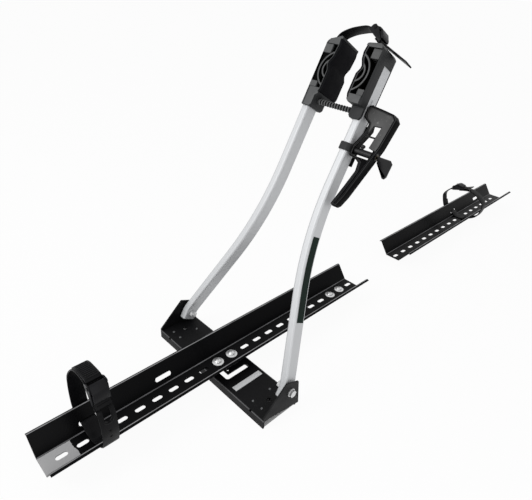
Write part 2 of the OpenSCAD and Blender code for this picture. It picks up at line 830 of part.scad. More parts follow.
// Lever of a buckle: a drum on the pin, a body over the strap and a thumb end with an eyelet
module buckle_lever() {
    w = 2 * (cheek_in - pass_gap);
    low = strap_t / 2 + tooth_h + pass_gap + 1.2;
    tip = -buckle_len / 2 + 2;
    difference() {
        union() {
            translate([pin_x, 0, pin_h]) y_rod(2 * drum_r, -w / 2, w / 2);
            translate([0, w / 2, 0]) rotate([90, 0, 0]) linear_extrude(w) polygon([
                [pin_x, pin_h], [pin_x, pin_h + drum_r], [pin_x - 6, pin_h + drum_r + 2.5],
                [-2, pin_h + drum_r + 3], [tip + 3, pin_h + 1.5], [tip, pin_h - 1.5], [tip + 1, low],
                [-buckle_len / 2 + 7, low], [2, low + 0.8]]);
        }
        translate([pin_x, 0, pin_h]) y_rod(buckle_pin_d + 2 * pin_gap, -strap_w, strap_w);
        translate([0, 0, pin_h + drum_r / 2]) y_rod(4.5, -strap_w, strap_w);
    }
}

// Places a buckle made in its own frame at a point of the strap's plane
module at_buckle(at, turn, flipped = false) {
    translate([0, at[0], at[1]]) rotate([turn, 0, 0]) rotate([0, 0, 90])
        mirror([flipped ? 1 : 0, 0, 0]) children();
}

// Strap over the jaws, in the arms' frame
strap_root_y = 55;
tab_root_y = 47;
strap_root_s = arm_len + 3;
jaw_buckle_at = [-23, arm_len + 37];
jaw_buckle_turn = 33;
jaw_ladder_path = concat(
    [[strap_root_y, strap_root_s]],
    smooth([
        [strap_root_y, jaw_top + 4], [53, jaw_top + 11], [46, arm_len + 33], [31, arm_len + 41],
        [15, arm_len + 46], [3, arm_len + 48.5],
        in_buckle(jaw_buckle_at, jaw_buckle_turn, buckle_len / 2 + 1.5, 0)], 8),
    [in_buckle(jaw_buckle_at, jaw_buckle_turn, -buckle_len / 2 - 2, 0),
     in_buckle(jaw_buckle_at, jaw_buckle_turn - 6, -86, 3)]);
// The tab strap runs straight out from under the buckle and bends down into the right jaw
tab_start = in_buckle(jaw_buckle_at, jaw_buckle_turn, -4, under_z);
tab_corner_s = tab_start[1] - (tab_start[0] + tab_root_y) * tan(jaw_buckle_turn);
jaw_tab_path = rounded_path([
    tab_start, [-tab_root_y, tab_corner_s], [-tab_root_y, strap_root_s]], 7, 6);

module jaw_ladder() {
    color([0.09, 0.09, 0.09]) arm_frame() strap(jaw_ladder_path);
}

module jaw_tab_strap() {
    color([0.09, 0.09, 0.09]) arm_frame() strap(jaw_tab_path, strap_w - 4);
}

module jaw_buckle_frame() {
    color([0.11, 0.11, 0.115]) arm_frame() at_buckle(jaw_buckle_at, jaw_buckle_turn) buckle_frame();
}

module jaw_buckle_pin() {
    color([0.07, 0.07, 0.075]) arm_frame() at_buckle(jaw_buckle_at, jaw_buckle_turn) buckle_pin();
}

module jaw_buckle_lever() {
    color([0.12, 0.12, 0.125]) arm_frame() at_buckle(jaw_buckle_at, jaw_buckle_turn) buckle_lever();
}

// A wheel strap's way through one wall slot to the rail's base, on the +Y side
lie_z = rail_t + strap_t / 2 + lay_gap;
slot_way = [
    [wall_slot_y + 1, wall_slot_z], [wall_slot_y - 5, wall_slot_z - 1.5],
    [rail_base / 2 - 3, lie_z + 2.6], [rail_base / 2 - 11, lie_z]];
slot_way_near = [for (p = slot_way) [-p[0], p[1]]];

// Front wheel strap, in the Y-Z plane from the middle of the rail's base: one band runs from the
// buckle down round the hem, through both wall slots, up the far side and back under the buckle
front_buckle_at = [-36, 134];
front_buckle_turn = 61;
tongue_z = floor_low - pass_gap - strap_t / 2;
loop_top = [[47, 107], [29, 132.5], [11, 146.5], [-6, 149.5]];
loop_end = in_buckle(front_buckle_at, front_buckle_turn, buckle_len / 2 + 3, tongue_z - 3.5);
front_band_path = concat(
    [in_buckle(front_buckle_at, front_buckle_turn, -5, under_z)],
    smooth(concat(
        [in_buckle(front_buckle_at, front_buckle_turn, -buckle_len / 2 - 1, under_z),
         in_buckle(front_buckle_at, front_buckle_turn, -buckle_len / 2 - 9, under_z + 1),
         [-53, 103], [-hem_y - 8.5, 82], [-hem_y - 9.5, 62], [-hem_y - 6.5, 44], [-hem_y - 2.6, 32],
         [-wall_slot_y - 10, 20]], slot_way_near), 6),
    smooth(concat(
        flip(slot_way), [[wall_slot_y + 9, 15.5], [hem_y + 3, 26], [hem_y + 7, 44], [hem_y + 5, 78]],
        loop_top,
        [loop_end, in_buckle(front_buckle_at, front_buckle_turn, buckle_len / 2 - 3, tongue_z)]), 6),
    [in_buckle(front_buckle_at, front_buckle_turn, 2, tongue_z)]);
// The ladder lies on the band over the top of the loop, then leaves it for the buckle
front_lap = beside(smooth(concat(loop_top, [loop_end]), 6), -strap_t - lay_gap);
front_rise = smooth([
    front_lap[14], front_lap[16],
    in_buckle(front_buckle_at, front_buckle_turn, buckle_len / 2 + 4, 0.3),
    in_buckle(front_buckle_at, front_buckle_turn, buckle_len / 2 - 2, 0)], 6);
front_ladder_path = concat(
    [for (k = [10 : 15]) front_lap[k]],
    [for (k = [6 : len(front_rise) - 1]) front_rise[k]],
    [in_buckle(front_buckle_at, front_buckle_turn, -buckle_len / 2, 0),
     in_buckle(front_buckle_at, front_buckle_turn, -buckle_len / 2 - 8, 2.2)]);

module front_band() {
    color([0.08, 0.08, 0.085])
    rail_frame(front_strap_x) difference() {
        strap(front_band_path, strap_w + 2);
        translate([0, -hem_y + 4, 99]) rotate([90, 0, 0]) linear_extrude(20) rotate(90) stadium(26, 12);
        for (z = [55, 68])
            translate([0, -hem_y - 3, z]) rotate([90, 0, 0]) cylinder(d = 5.5, h = 20);
    }
}

module front_ladder() {
    color([0.1, 0.1, 0.1])
    rail_frame(front_strap_x) {
        strap(front_ladder_path);
        teeth(front_ladder_path, 0.05, 0.95);
    }
}

module front_buckle_frame() {
    color([0.11, 0.11, 0.115])
    rail_frame(front_strap_x) at_buckle(front_buckle_at, front_buckle_turn) buckle_frame();
}

module front_buckle_pin() {
    color([0.07, 0.07, 0.075])
    rail_frame(front_strap_x) at_buckle(front_buckle_at, front_buckle_turn) buckle_pin();
}

module front_buckle_lever() {
    color([0.12, 0.12, 0.125])
    rail_frame(front_strap_x) at_buckle(front_buckle_at, front_buckle_turn) buckle_lever();
}

// Rear wheel strap: the band runs from the buckle over the near side to the far wall slot, and the
// ladder comes up the far side into the buckle
rear_buckle_at = [27, 97];
rear_buckle_turn = -17;
rear_far = smooth(concat(
    flip(slot_way), [[wall_slot_y + 9, 15.5], [hem_y + 5, 26], [hem_y + 13, 42]]), 6);
rear_band_path = concat(
    [in_buckle(rear_buckle_at, rear_buckle_turn, -5, under_z)],
    smooth(concat(
        [in_buckle(rear_buckle_at, rear_buckle_turn, -buckle_len / 2 - 1, under_z), [-16, 101], [-42, 90],
         [-61, 72], [-hem_y - 13, 52], [-hem_y - 5, 29], [-wall_slot_y - 10, 16.5]], slot_way_near), 6),
    rear_far);
// The ladder's lower end lies on the band's far end
rear_lap = beside(rear_far, -strap_t - lay_gap);
rear_lap_end = len(rear_lap) - 1;
rear_ladder_path = concat(
    [for (k = [rear_lap_end - 7 : rear_lap_end - 1]) rear_lap[k]],
    smooth([
        rear_lap[rear_lap_end], [hem_y + 20, 64], [57, 82],
        in_buckle(rear_buckle_at, rear_buckle_turn, buckle_len / 2, 0)], 6),
    [in_buckle(rear_buckle_at, rear_buckle_turn, -buckle_len / 2 - 4, 0),
     in_buckle(rear_buckle_at, rear_buckle_turn, -buckle_len / 2 - 24, 2.5)]);

module rear_band() {
    color([0.08, 0.08, 0.085]) rail_frame(rear_strap_x) strap(rear_band_path, strap_w + 2);
}

module rear_ladder() {
    color([0.1, 0.1, 0.1])
    rail_frame(rear_strap_x) {
        strap(rear_ladder_path);
        teeth(rear_ladder_path, 0.3, 0.9);
    }
}

module rear_buckle_frame() {
    color([0.11, 0.11, 0.115])
    rail_frame(rear_strap_x) at_buckle(rear_buckle_at, rear_buckle_turn) buckle_frame();
}

module rear_buckle_pin() {
    color([0.07, 0.07, 0.075])
    rail_frame(rear_strap_x) at_buckle(rear_buckle_at, rear_buckle_turn) buckle_pin();
}

module rear_buckle_lever() {
    color([0.12, 0.12, 0.125])
    rail_frame(rear_strap_x) at_buckle(rear_buckle_at, rear_buckle_turn) buckle_lever();
}

// Lever with lock on the right arm

// Ring round the right arm against which the lock barrel closes
module arm_collar() {
    color([0.08, 0.08, 0.085])
    arm_frame() translate([0, -arm_y, barrel_s - collar_h / 2]) linear_extrude(collar_h) difference() {
        tube_outline(seat_gap + collar_wall);
        tube_outline(seat_gap);
        translate([tube_w / 2 - 1, -12 - seat_gap]) square([collar_wall + 3, 10 + 2 * seat_gap]);
    }
}

// Flat steel strip down the rear of the right arm, from the jaw's foot to below the collar; it stands
// out past the arm's outer side
module pull_strip() {
    color([0.12, 0.12, 0.13])
    arm_frame() translate([tube_w / 2, -arm_y - 12, barrel_s - 28])
        cube([strip_t, 10, jaw_foot - pass_gap - barrel_s + 28]);
}

// Lug on the right arm's outer face that carries the lever's pin
module lever_bracket() {
    w = lug_w - 2 * pass_gap;
    color([0.1, 0.1, 0.105])
    arm_frame() difference() {
        union() {
            translate([-w / 2, -arm_out - lug_t, lever_s - 17]) cube([w, lug_t, 34]);
            translate([-w / 2, -lever_y, lever_s - 6]) cube([w, lever_y - arm_out, 12]);
            translate([-w / 2, -lever_y, lever_s]) rotate([0, 90, 0]) cylinder(r = 6, h = w);
        }
        translate([-w, -lever_y, lever_s]) rotate([0, 90, 0]) cylinder(d = lever_pin_d, h = 2 * w);
    }
}

module lever_pin() {
    n0 = -lug_w / 2 - 2;
    n1 = lever_depth / 2 - 0.5;
    color([0.55, 0.55, 0.56])
    arm_frame() translate([n0, -lever_y, lever_s]) rotate([0, 90, 0])
        cylinder(d = lever_pin_d, h = n1 - n0);
}

// Lever outline, anticlockwise, from corners given as offsets from its pivot
function at_lever(list) = [for (p = list) p + [-lever_y, lever_s]];
lock_low = -barrel_drop;
lock_edge = lever_y - collar_out - pass_gap;
lever_corners = at_lever([
    for (a = [-20 : 20 : 100]) lever_hub_r * [cos(a), sin(a)],
    [-26, 5], [-46, 2], [-53, -6], [-47, lock_low + 16], [-32, -112], [-21, -153],
    [-13.5, -172], [-8.5, -176.5], [-2, -173.5], [-3.6, -167.5], [-12.7, -137], [-21, -106],
    [-19, lock_low - 19], [-10.4, lock_low - 14], [lock_edge - 1, lock_low - 12], [lock_edge, lock_low + 8],
    [-5.5, -40], [-8.5, -32], [-7, -23], [7.5, -14]]);
lever_loop = rounded_loop(lever_corners, 1, 3);
// Grip window, anticlockwise: the lock barrel crosses its lower part
window_corners = at_lever([
    [-19, -25], [-32, -24.5], [-25.5, lock_low + 10], [-36, lock_low + 7.5], [-33, lock_low - 9.5],
    [-2, lock_low - 9.5], [1.5, lock_low - 7], [0.5, lock_low + 7], [-8, -50], [-15, -38]]);
window_loop = rounded_loop(window_corners, 1, 3);
// The lever's web stands between the pivot lug and the front, with the rim round it
web_front = -lever_depth / 2 + 2.5;
web_back = -lug_w / 2;

module lever() {
    hub = lever_hub_r + lug_room;
    color([0.1, 0.1, 0.105])
    arm_frame() difference() {
        union() {
            across_x(lever_depth) difference() {
                polygon(lever_loop);
                polygon(drawn_in(lever_corners, lever_rim));
            }
            translate([(web_front + web_back) / 2, 0, 0]) across_x(web_back - web_front) difference() {
                polygon(lever_loop);
                polygon(window_loop);
            }
            translate([web_front, -lever_y, lever_s]) rotate([0, 90, 0])
                cylinder(r = lever_hub_r, h = lever_depth / 2 - web_front);
            translate([web_front, -lever_y - 31, lever_s - 45]) cube([2.5, 22, 3]);
        }
        translate([-lug_w / 2, -lever_y, lever_s]) rotate([0, 90, 0]) cylinder(r = hub, h = lug_w);
        translate([-lug_w / 2, -lever_y, lever_s - 20]) cube([lug_w, 2 * hub, 40]);
        translate([-lug_w / 2 - 2 - pass_gap, -lever_y, lever_s]) rotate([0, 90, 0])
            cylinder(d = lever_pin_d + 2 * pin_gap, h = 2 * lever_depth);
        translate([0, 0, barrel_s]) y_rod(barrel_d + 2 * seat_gap, -barrel_out - 20, -barrel_in + 20);
    }
}

// Grey facing in the upper part of the lever's front
module lever_panel() {
    color([0.33, 0.33, 0.33])
    arm_frame() translate([web_front - 0.5, 0, 0]) across_x(1) difference() {
        intersection() {
            polygon(drawn_in(lever_corners, lever_rim + 0.3));
            polygon(at_lever([
                [5, 20], [-70, 20], [-70, lock_low + 8], [-22, lock_low + 8], [-11, -30], [5, -6]]));
        }
        polygon(drawn_in(window_corners, -1.2));
    }
}

// Lock barrel across the lever, bored at its outer end for the turning core
core_len = 22;

module lock_barrel() {
    color([0.13, 0.13, 0.135])
    arm_frame() translate([0, 0, barrel_s]) difference() {
        y_rod(barrel_d, -barrel_out, -barrel_in);
        y_rod(core_d + 2 * pin_gap, -barrel_out - 1, -barrel_out + core_len + pass_gap);
    }
}

// Small round stud on top of the barrel
module barrel_stud() {
    color([0.08, 0.08, 0.085])
    arm_frame() translate([0, -lever_y - 10, barrel_s + barrel_d / 2 - 0.6]) difference() {
        union() {
            cylinder(d = 6, h = 3);
            translate([0, 0, 2]) cylinder(d1 = 6, d2 = 9, h = 2);
            translate([0, 0, 4]) cylinder(d = 9, h = 2.5);
            translate([0, 0, 6.5]) cylinder(d1 = 9, d2 = 6, h = 1.5);
        }
        translate([0, 0, -barrel_d / 2 + 0.6]) y_rod(barrel_d, -10, 10);
    }
}

// The lock's frame: the key hangs straight down whatever the arms' lean
module lock_frame() {
    arm_frame() translate([0, -barrel_out, barrel_s]) rotate([0, -arm_lean, 0]) children();
}

module lock_core() {
    color([0.75, 0.72, 0.6])
    lock_frame() difference() {
        y_rod(core_d, -1, core_len);
        translate([-0.8, -2, -core_d / 2 + 1.2]) cube([1.6, core_len, core_d - 2.4]);
    }
}

module key() {
    blade_h = core_d - 2.4 - 2 * seat_gap;
    color([0.1, 0.1, 0.105])
    lock_frame() difference() {
        union() {
            across_x(key_t) polygon(rounded_loop([
                [-2.5, 2.5], [-27.5, 2.5], [-32, -3], [-25.5, -28], [-22, -32.5], [-17.5, -32], [-14.5, -27],
                [-2.5, -9]], 2, 4));
            translate([-0.7, -4, -blade_h / 2]) cube([1.4, core_len - 4, blade_h]);
        }
        translate([-key_t, -20, -26.5]) rotate([0, 90, 0]) cylinder(d = 4.5, h = 2 * key_t);
    }
}

cross_plate();
plate_rivets();
rating_plate();
main_rail();
rail_bolts();
rail_washers();
rail_nuts();
pivot_bolts();
pivot_washers();
pivot_nuts();
front_band();
front_ladder();
front_buckle_frame();
front_buckle_pin();
front_buckle_lever();
left_arm();
right_arm();
arm_plugs();
arm_decal();
left_jaw();
right_jaw();
left_pad();
right_pad();
tie_rod();
rod_sleeve();
jaw_ladder();
jaw_tab_strap();
jaw_buckle_frame();
jaw_buckle_pin();
jaw_buckle_lever();
arm_collar();
pull_strip();
lever_bracket();
lever_pin();
lever();
lever_panel();
lock_barrel();
barrel_stud();
lock_core();
key();
rear_rail();
rear_band();
rear_ladder();
rear_buckle_frame();
rear_buckle_pin();
rear_buckle_lever();
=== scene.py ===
# %% [markdown]
# # A roof bike carrier, from CAD solids to a finished picture
#
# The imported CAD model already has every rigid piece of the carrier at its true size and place. This
# lesson dresses it: it sets the camera where the photograph was taken, gives each piece a finish made
# of shader nodes, and builds the moulded straps and the ribbed sleeve again as smooth meshes. The scene
# is in metres, in the CAD model's own frame, so nothing has to be fitted by eye. Sizes that come from
# the CAD source are written in millimetres, as they are there, and multiplied by MM where they are used.

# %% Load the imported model
import json
import math
from functools import partial

import bmesh
import bpy
from mathutils import Matrix, Vector
from mathutils.bvhtree import BVHTree


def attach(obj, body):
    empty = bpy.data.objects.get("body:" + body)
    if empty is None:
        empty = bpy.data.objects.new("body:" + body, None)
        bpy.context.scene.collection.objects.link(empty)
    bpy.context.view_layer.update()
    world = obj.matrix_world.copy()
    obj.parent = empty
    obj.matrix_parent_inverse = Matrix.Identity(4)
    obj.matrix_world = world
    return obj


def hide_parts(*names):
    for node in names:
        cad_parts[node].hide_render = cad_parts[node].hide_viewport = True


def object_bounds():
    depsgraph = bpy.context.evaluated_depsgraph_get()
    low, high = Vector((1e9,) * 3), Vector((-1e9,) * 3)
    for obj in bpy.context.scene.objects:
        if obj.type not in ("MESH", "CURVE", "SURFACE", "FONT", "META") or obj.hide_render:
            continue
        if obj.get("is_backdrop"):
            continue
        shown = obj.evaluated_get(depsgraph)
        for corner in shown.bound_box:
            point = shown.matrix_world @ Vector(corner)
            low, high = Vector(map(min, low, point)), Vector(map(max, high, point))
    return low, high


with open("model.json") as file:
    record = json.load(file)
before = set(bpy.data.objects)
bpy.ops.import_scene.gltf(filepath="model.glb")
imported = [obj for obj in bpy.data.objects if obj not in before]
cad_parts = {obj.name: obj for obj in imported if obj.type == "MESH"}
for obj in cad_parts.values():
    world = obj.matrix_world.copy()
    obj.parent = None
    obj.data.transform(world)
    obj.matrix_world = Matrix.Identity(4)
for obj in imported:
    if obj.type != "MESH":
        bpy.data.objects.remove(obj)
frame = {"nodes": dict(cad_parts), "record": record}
nodes = frame["nodes"]
cad_low, cad_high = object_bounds()
scene = bpy.context.scene
MM = 0.001
print("CAD box in mm:", [round((b - a) / MM) for a, b in zip(cad_low, cad_high)])


# %% [markdown]
# ## The camera
#
# The photograph looks down on the carrier from its front right corner. Its place and lens were solved
# from the straight rails, the equal spacing of their slots and the right angles of the cross plate.
# A camera could also be aimed with a Track To constraint, but a measured view has a little roll, so
# its three axes are written out and set as a matrix.

# %% Camera at the photograph's place
PHOTO_WIDTH_PX = 532
FOCAL_PX = 470.52
SENSOR_MM = 36.0
EYE = Vector((-0.44758, -0.53089, 0.67784))
IMAGE_RIGHT = Vector((0.717615, -0.694220, 0.055558))
IMAGE_DOWN = Vector((-0.321761, -0.401239, -0.857600))
AHEAD = Vector((0.617655, 0.597550, -0.511308))

camera_data = bpy.data.cameras.new("photo_camera")
camera_data.sensor_width = SENSOR_MM
camera_data.lens = FOCAL_PX * SENSOR_MM / PHOTO_WIDTH_PX
camera_data.clip_start = 0.01
camera = bpy.data.objects.new("photo_camera", camera_data)
axes = Matrix((IMAGE_RIGHT, -IMAGE_DOWN, -AHEAD)).transposed()
camera.matrix_world = Matrix.Translation(EYE) @ axes.to_4x4()
scene.collection.objects.link(camera)
scene.camera = camera
print("lens in mm:", round(camera_data.lens, 2))


# %% [markdown]
# ## Small helpers
#
# Colours are written as sRGB hex values, as a paint chart gives them, and turned to the linear values
# that shaders work with. One function adds any node to any tree: what it should link to or hold is
# given by socket, and its settings by name. The others are short forms for nodes that come up often.

# %% Colour and node helpers
def linear(code):
    """An sRGB hex colour as linear RGBA."""
    parts = [int(code[k : k + 2], 16) / 255 for k in (1, 3, 5)]
    return tuple(c / 12.92 if c <= 0.04045 else ((c + 0.055) / 1.055) ** 2.4 for c in parts) + (1.0,)


def add(tree, kind, feeds=None, **settings):
    """A new node in the tree. feeds maps sockets to values or to other nodes' outputs."""
    node = tree.nodes.new(kind)
    for key, value in settings.items():
        setattr(node, key, value)
    for key, value in (feeds or {}).items():
        if isinstance(value, bpy.types.NodeSocket):
            tree.links.new(value, node.inputs[key])
        else:
            node.inputs[key].default_value = value
    return node


def maths(tree, operation, *terms, clamp=False):
    """The result of a Math node. Each term is a number or another node's output."""
    feeds = dict(enumerate(terms))
    return add(tree, "ShaderNodeMath", feeds, operation=operation, use_clamp=clamp).outputs[0]


def mix(tree, share, under, over):
    """One colour over another, by a share from 0 to 1."""
    return add(tree, "ShaderNodeMix", {"Factor": share, "A": under, "B": over}, data_type="RGBA").outputs[2]


def own_place(tree):
    """The shaded point in its piece's own coordinates, as a vector."""
    return add(tree, "ShaderNodeTexCoord").outputs["Object"]


def own_axes(tree):
    """The X, Y and Z of the shaded point in its piece's own coordinates."""
    return add(tree, "ShaderNodeSeparateXYZ", {0: own_place(tree)}).outputs


def noise(tree, vector, size_mm, detail=2.0):
    """Soft noise with patches of a given size."""
    return add(tree, "ShaderNodeTexNoise",
               {"Vector": vector, "Scale": 1 / (size_mm * MM), "Detail": detail}).outputs["Fac"]


print("mid grey in linear light:", round(linear("#808080")[0], 3))


# %% [markdown]
# ## Studio
#
# The photograph is a cut-out on pure white. A white floor that is only lit would need so much light
# that the object would bleach, so the floor and the world show plain white to the camera and to
# reflections, and send the object a much lower, even light. The floor lets a share of its real shading
# through, which keeps a soft shadow under the carrier. Under the cross plate's two ends it shows all of
# it, because the photograph's clamp holes look down into the dark there.

# %% Floor
FLOOR_SIZE = 60.0
FLOOR_GAP = 0.5 * MM
SHADOW_SHARE = 0.05
PLATE_ENDS_Y = (0.100, 0.157)
PLATE_ENDS_HALF_X = 0.040


def seen_or_mirrored(tree):
    """1 for rays from the camera, from a reflection or through glass, and 0 for light on the object."""
    ray = add(tree, "ShaderNodeLightPath").outputs
    seen = maths(tree, "ADD", ray["Is Camera Ray"], ray["Is Glossy Ray"])
    return maths(tree, "ADD", seen, ray["Is Transmission Ray"], clamp=True)


def pale_floor():
    material = bpy.data.materials.new("pale_studio_floor")
    material.use_nodes = True
    tree = material.node_tree
    tree.nodes.clear()
    lit = add(tree, "ShaderNodeBsdfDiffuse", {"Color": linear("#f2f2f2")})
    white = add(tree, "ShaderNodeEmission", {"Color": (1, 1, 1, 1), "Strength": 1.0})
    at = own_axes(tree)
    side = maths(tree, "ABSOLUTE", at["Y"])
    past = maths(tree, "GREATER_THAN", side, PLATE_ENDS_Y[0])
    short = maths(tree, "LESS_THAN", side, PLATE_ENDS_Y[1])
    within = maths(tree, "COMPARE", at["X"], 0.0, PLATE_ENDS_HALF_X)
    under = maths(tree, "MULTIPLY", maths(tree, "MULTIPLY", past, short), within)
    flat = add(tree, "ShaderNodeMapRange", {"Value": under, "To Min": 1 - SHADOW_SHARE, "To Max": 0.0})
    share = maths(tree, "MULTIPLY", seen_or_mirrored(tree), flat.outputs[0])
    both = add(tree, "ShaderNodeMixShader", {0: share, 1: lit.outputs[0], 2: white.outputs[0]})
    add(tree, "ShaderNodeOutputMaterial", {"Surface": both.outputs[0]})
    return material


bpy.ops.mesh.primitive_plane_add(size=FLOOR_SIZE, location=(0, 0, cad_low.z - FLOOR_GAP))
floor = bpy.context.object
floor.name = "floor"
floor.data.materials.append(pale_floor())
floor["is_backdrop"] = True
print("floor at Z =", round(floor.location.z, 4))

# %% World
AMBIENT = 0.5
world = bpy.data.worlds.new("studio_world")
scene.world = world
world.use_nodes = True
world.node_tree.nodes.clear()
glow = add(world.node_tree, "ShaderNodeMapRange",
           {"Value": seen_or_mirrored(world.node_tree), "To Min": AMBIENT, "To Max": 1.0})
backdrop = add(world.node_tree, "ShaderNodeBackground",
               {"Color": (1, 1, 1, 1), "Strength": glow.outputs[0]})
add(world.node_tree, "ShaderNodeOutputWorld", {"Surface": backdrop.outputs[0]})
scene.view_settings.view_transform = "Standard"
print("even light on the object:", AMBIENT)

# %% [markdown]
# The arms show where the light comes from: their rounded front edges are bright and their right sides
# grey, so the main lamp stands in front, above and to the left. A weaker one fills from the right.

# %% Lamps
AIM = Vector((0.15, 0.0, 0.25))


def soft_lamp(name, place, size, watts):
    data = bpy.data.lights.new(name, "AREA")
    data.shape = "DISK"
    data.size = size
    data.energy = watts
    lamp = bpy.data.objects.new(name, data)
    lamp.location = place
    lamp.rotation_mode = "QUATERNION"
    lamp.rotation_quaternion = (AIM - Vector(place)).to_track_quat("-Z", "Y")
    scene.collection.objects.link(lamp)
    print(name, "at", place, watts, "W")


soft_lamp("front_lamp", place=(-1.9, 0.7, 1.7), size=1.2, watts=26)
soft_lamp("right_fill", place=(-0.3, -2.2, 1.4), size=1.6, watts=9)


# %% [markdown]
# ## Finishes
#
# Each finish starts from one pattern that all real surfaces share: broad, faint changes of tone, and a
# finer relief that breaks up the reflections. Both are noise in Object coordinates, so they keep their
# real size on every piece and stay put when the piece moves. The function below makes that common
# part, and the cells after it add what is special to a finish.

# %% The common part of a finish
PATCH_DETAIL = 3.0
RELIEF_STRENGTH = 0.5


def finish(name, tones, patch_mm, relief_mm, depth_mm, roughness, metal=0.0, specular=0.5,
           stretch=(1, 1, 1), turn=(0, 0, 0)):
    """A material with two tones in soft patches and a fine relief. Returns it, its tree and its shader."""
    material = bpy.data.materials.new(name)
    material.use_nodes = True
    tree = material.node_tree
    tree.nodes.clear()
    turned = add(tree, "ShaderNodeMapping", {"Vector": own_place(tree), "Rotation": turn})
    drawn = add(tree, "ShaderNodeMapping", {"Vector": turned.outputs[0], "Scale": stretch}).outputs[0]
    patches = noise(tree, drawn, patch_mm, PATCH_DETAIL)
    tone = mix(tree, patches, linear(tones[0]), linear(tones[1]))
    matt = add(tree, "ShaderNodeMapRange", {"Value": patches, "From Min": 0.3, "From Max": 0.7,
                                            "To Min": roughness[0], "To Max": roughness[1]})
    bump = add(tree, "ShaderNodeBump", {"Height": noise(tree, drawn, relief_mm),
                                        "Strength": RELIEF_STRENGTH, "Distance": depth_mm * MM})
    shader = add(tree, "ShaderNodeBsdfPrincipled",
                 {"Base Color": tone, "Roughness": matt.outputs[0], "Metallic": metal,
                  "Normal": bump.outputs[0], "Specular IOR Level": specular})
    add(tree, "ShaderNodeOutputMaterial", {"Surface": shader.outputs[0]})
    return material, tree, shader


def lay_over(tree, shader, share, code):
    """Lays another colour over the shader's present one, by a share from 0 to 1."""
    under = shader.inputs["Base Color"].links[0].from_socket
    tree.links.new(mix(tree, share, under, linear(code)), shader.inputs["Base Color"])


def away_from(tree, across, up, point_mm):
    """Distance of the shaded point from a line that shows as a point in a section."""
    section = add(tree, "ShaderNodeCombineXYZ", {"X": across, "Y": up})
    centre = (point_mm[0] * MM, point_mm[1] * MM, 0)
    return add(tree, "ShaderNodeVectorMath", {0: section.outputs[0], 1: centre},
               operation="DISTANCE").outputs["Value"]


print("finish helpers ready")

# %% [markdown]
# ### Stove enamel on the rails
#
# The rails are folded from steel sheet and dipped in gloss black enamel. On the faces it is almost
# pure black. Along every fold a pale line is painted on as a highlight, broken up by noise. The rails run
# straight along X, so a line's place is a point in the Y-Z plane, and the distance to that point makes its
# mask.

# %% Enamelled rails
RAIL_MIDDLE_Y = 4 * MM
HIGHLIGHT_BREAKUP_MM = 45
FULL_LINE = 0.4
# Each fold's painted highlight: its place across and up, the line's width and its colour
FOLD_HIGHLIGHTS = {"base fold": ((19.5, 6.0), 1.3, "#a5a5a8"), "top fold": ((44.5, 39.0), 1.6, "#d2d2d4")}

enamel, tree, shader = finish("stove_enamelled_steel", ("#030304", "#08080a"), 60, 2.0, 0.02, (0.22, 0.34),
                              specular=0.05)
at = own_axes(tree)
across = maths(tree, "ABSOLUTE", maths(tree, "SUBTRACT", at["Y"], RAIL_MIDDLE_Y))
highlight_breakup = noise(tree, own_place(tree), HIGHLIGHT_BREAKUP_MM)
# painted highlight: a pale line along each fold, broken up by noise
for label, (point, width, code) in FOLD_HIGHLIGHTS.items():
    line = add(tree, "ShaderNodeMapRange",
               {"Value": away_from(tree, across, at["Z"], point), "From Min": width * MM,
                "From Max": width * MM * FULL_LINE}, interpolation_type="SMOOTHSTEP")
    lay_over(tree, shader, maths(tree, "MULTIPLY", line.outputs[0], highlight_breakup), code)
    print(label, "line", width, "mm wide")

# %% [markdown]
# The base has a paler patch at the front end, a painted reflection of glare. It is masked in the same way, by
# where a point lies, and a little noise makes its edge ragged.

# %% Painted glare at the front end
GLARE_END_X = -0.304
RAGGED = 0.012
RAGGED_MM = 14
BASE_TOP_Z = 6.2 * MM
BASE_HALF_Y = 18.6 * MM
# painted reflection: a pale glare patch on the base's front end
ragged_x = maths(tree, "MULTIPLY_ADD", noise(tree, own_place(tree), RAGGED_MM), RAGGED, at["X"])
front = maths(tree, "LESS_THAN", ragged_x, GLARE_END_X + RAGGED / 2)
low = maths(tree, "LESS_THAN", at["Z"], BASE_TOP_Z)
inner = maths(tree, "LESS_THAN", across, BASE_HALF_Y)
on_base = maths(tree, "MULTIPLY", low, inner)
lay_over(tree, shader, maths(tree, "MULTIPLY", front, on_base), "#b7b7b8")
print("painted glare patch up to X =", GLARE_END_X)

# %% [markdown]
# ### Powder coat on the cross plate
#
# Powder coat melts into a satin skin with a fine, even grit. It is greyer than enamel. The plate's
# two long folds get the same painted highlight line as the rails, on the X-Z plane this time.

# %% Powder coated plate
PLATE_FOLD = (42, 3)
powder, tree, shader = finish("powder_coated_steel", ("#0b0b0c", "#131315"), 25, 0.9, 0.03, (0.42, 0.55),
                              specular=0.1)
at = own_axes(tree)
away = away_from(tree, maths(tree, "ABSOLUTE", at["X"]), at["Z"], PLATE_FOLD)
# painted highlight: a pale line along each long fold
line = add(tree, "ShaderNodeMapRange",
           {"Value": away, "From Min": 2.0 * MM, "From Max": 0.8 * MM, "To Max": 0.5})
lay_over(tree, shader, line.outputs[0], "#8a8a8c")
print("plate fold lines along Y, from the middle in mm:", PLATE_FOLD[0])

# %% [markdown]
# ### Metals
#
# Zinc plate on the fasteners is bright with a faint cloud, and dull on the small rivets; bare aluminium
# has rolling marks; the arms are extruded tube, satin anodised, so their marks run along the arm. The
# stretch is made by a Mapping node: first the pattern is turned into the arm's lean, then drawn out
# along it.

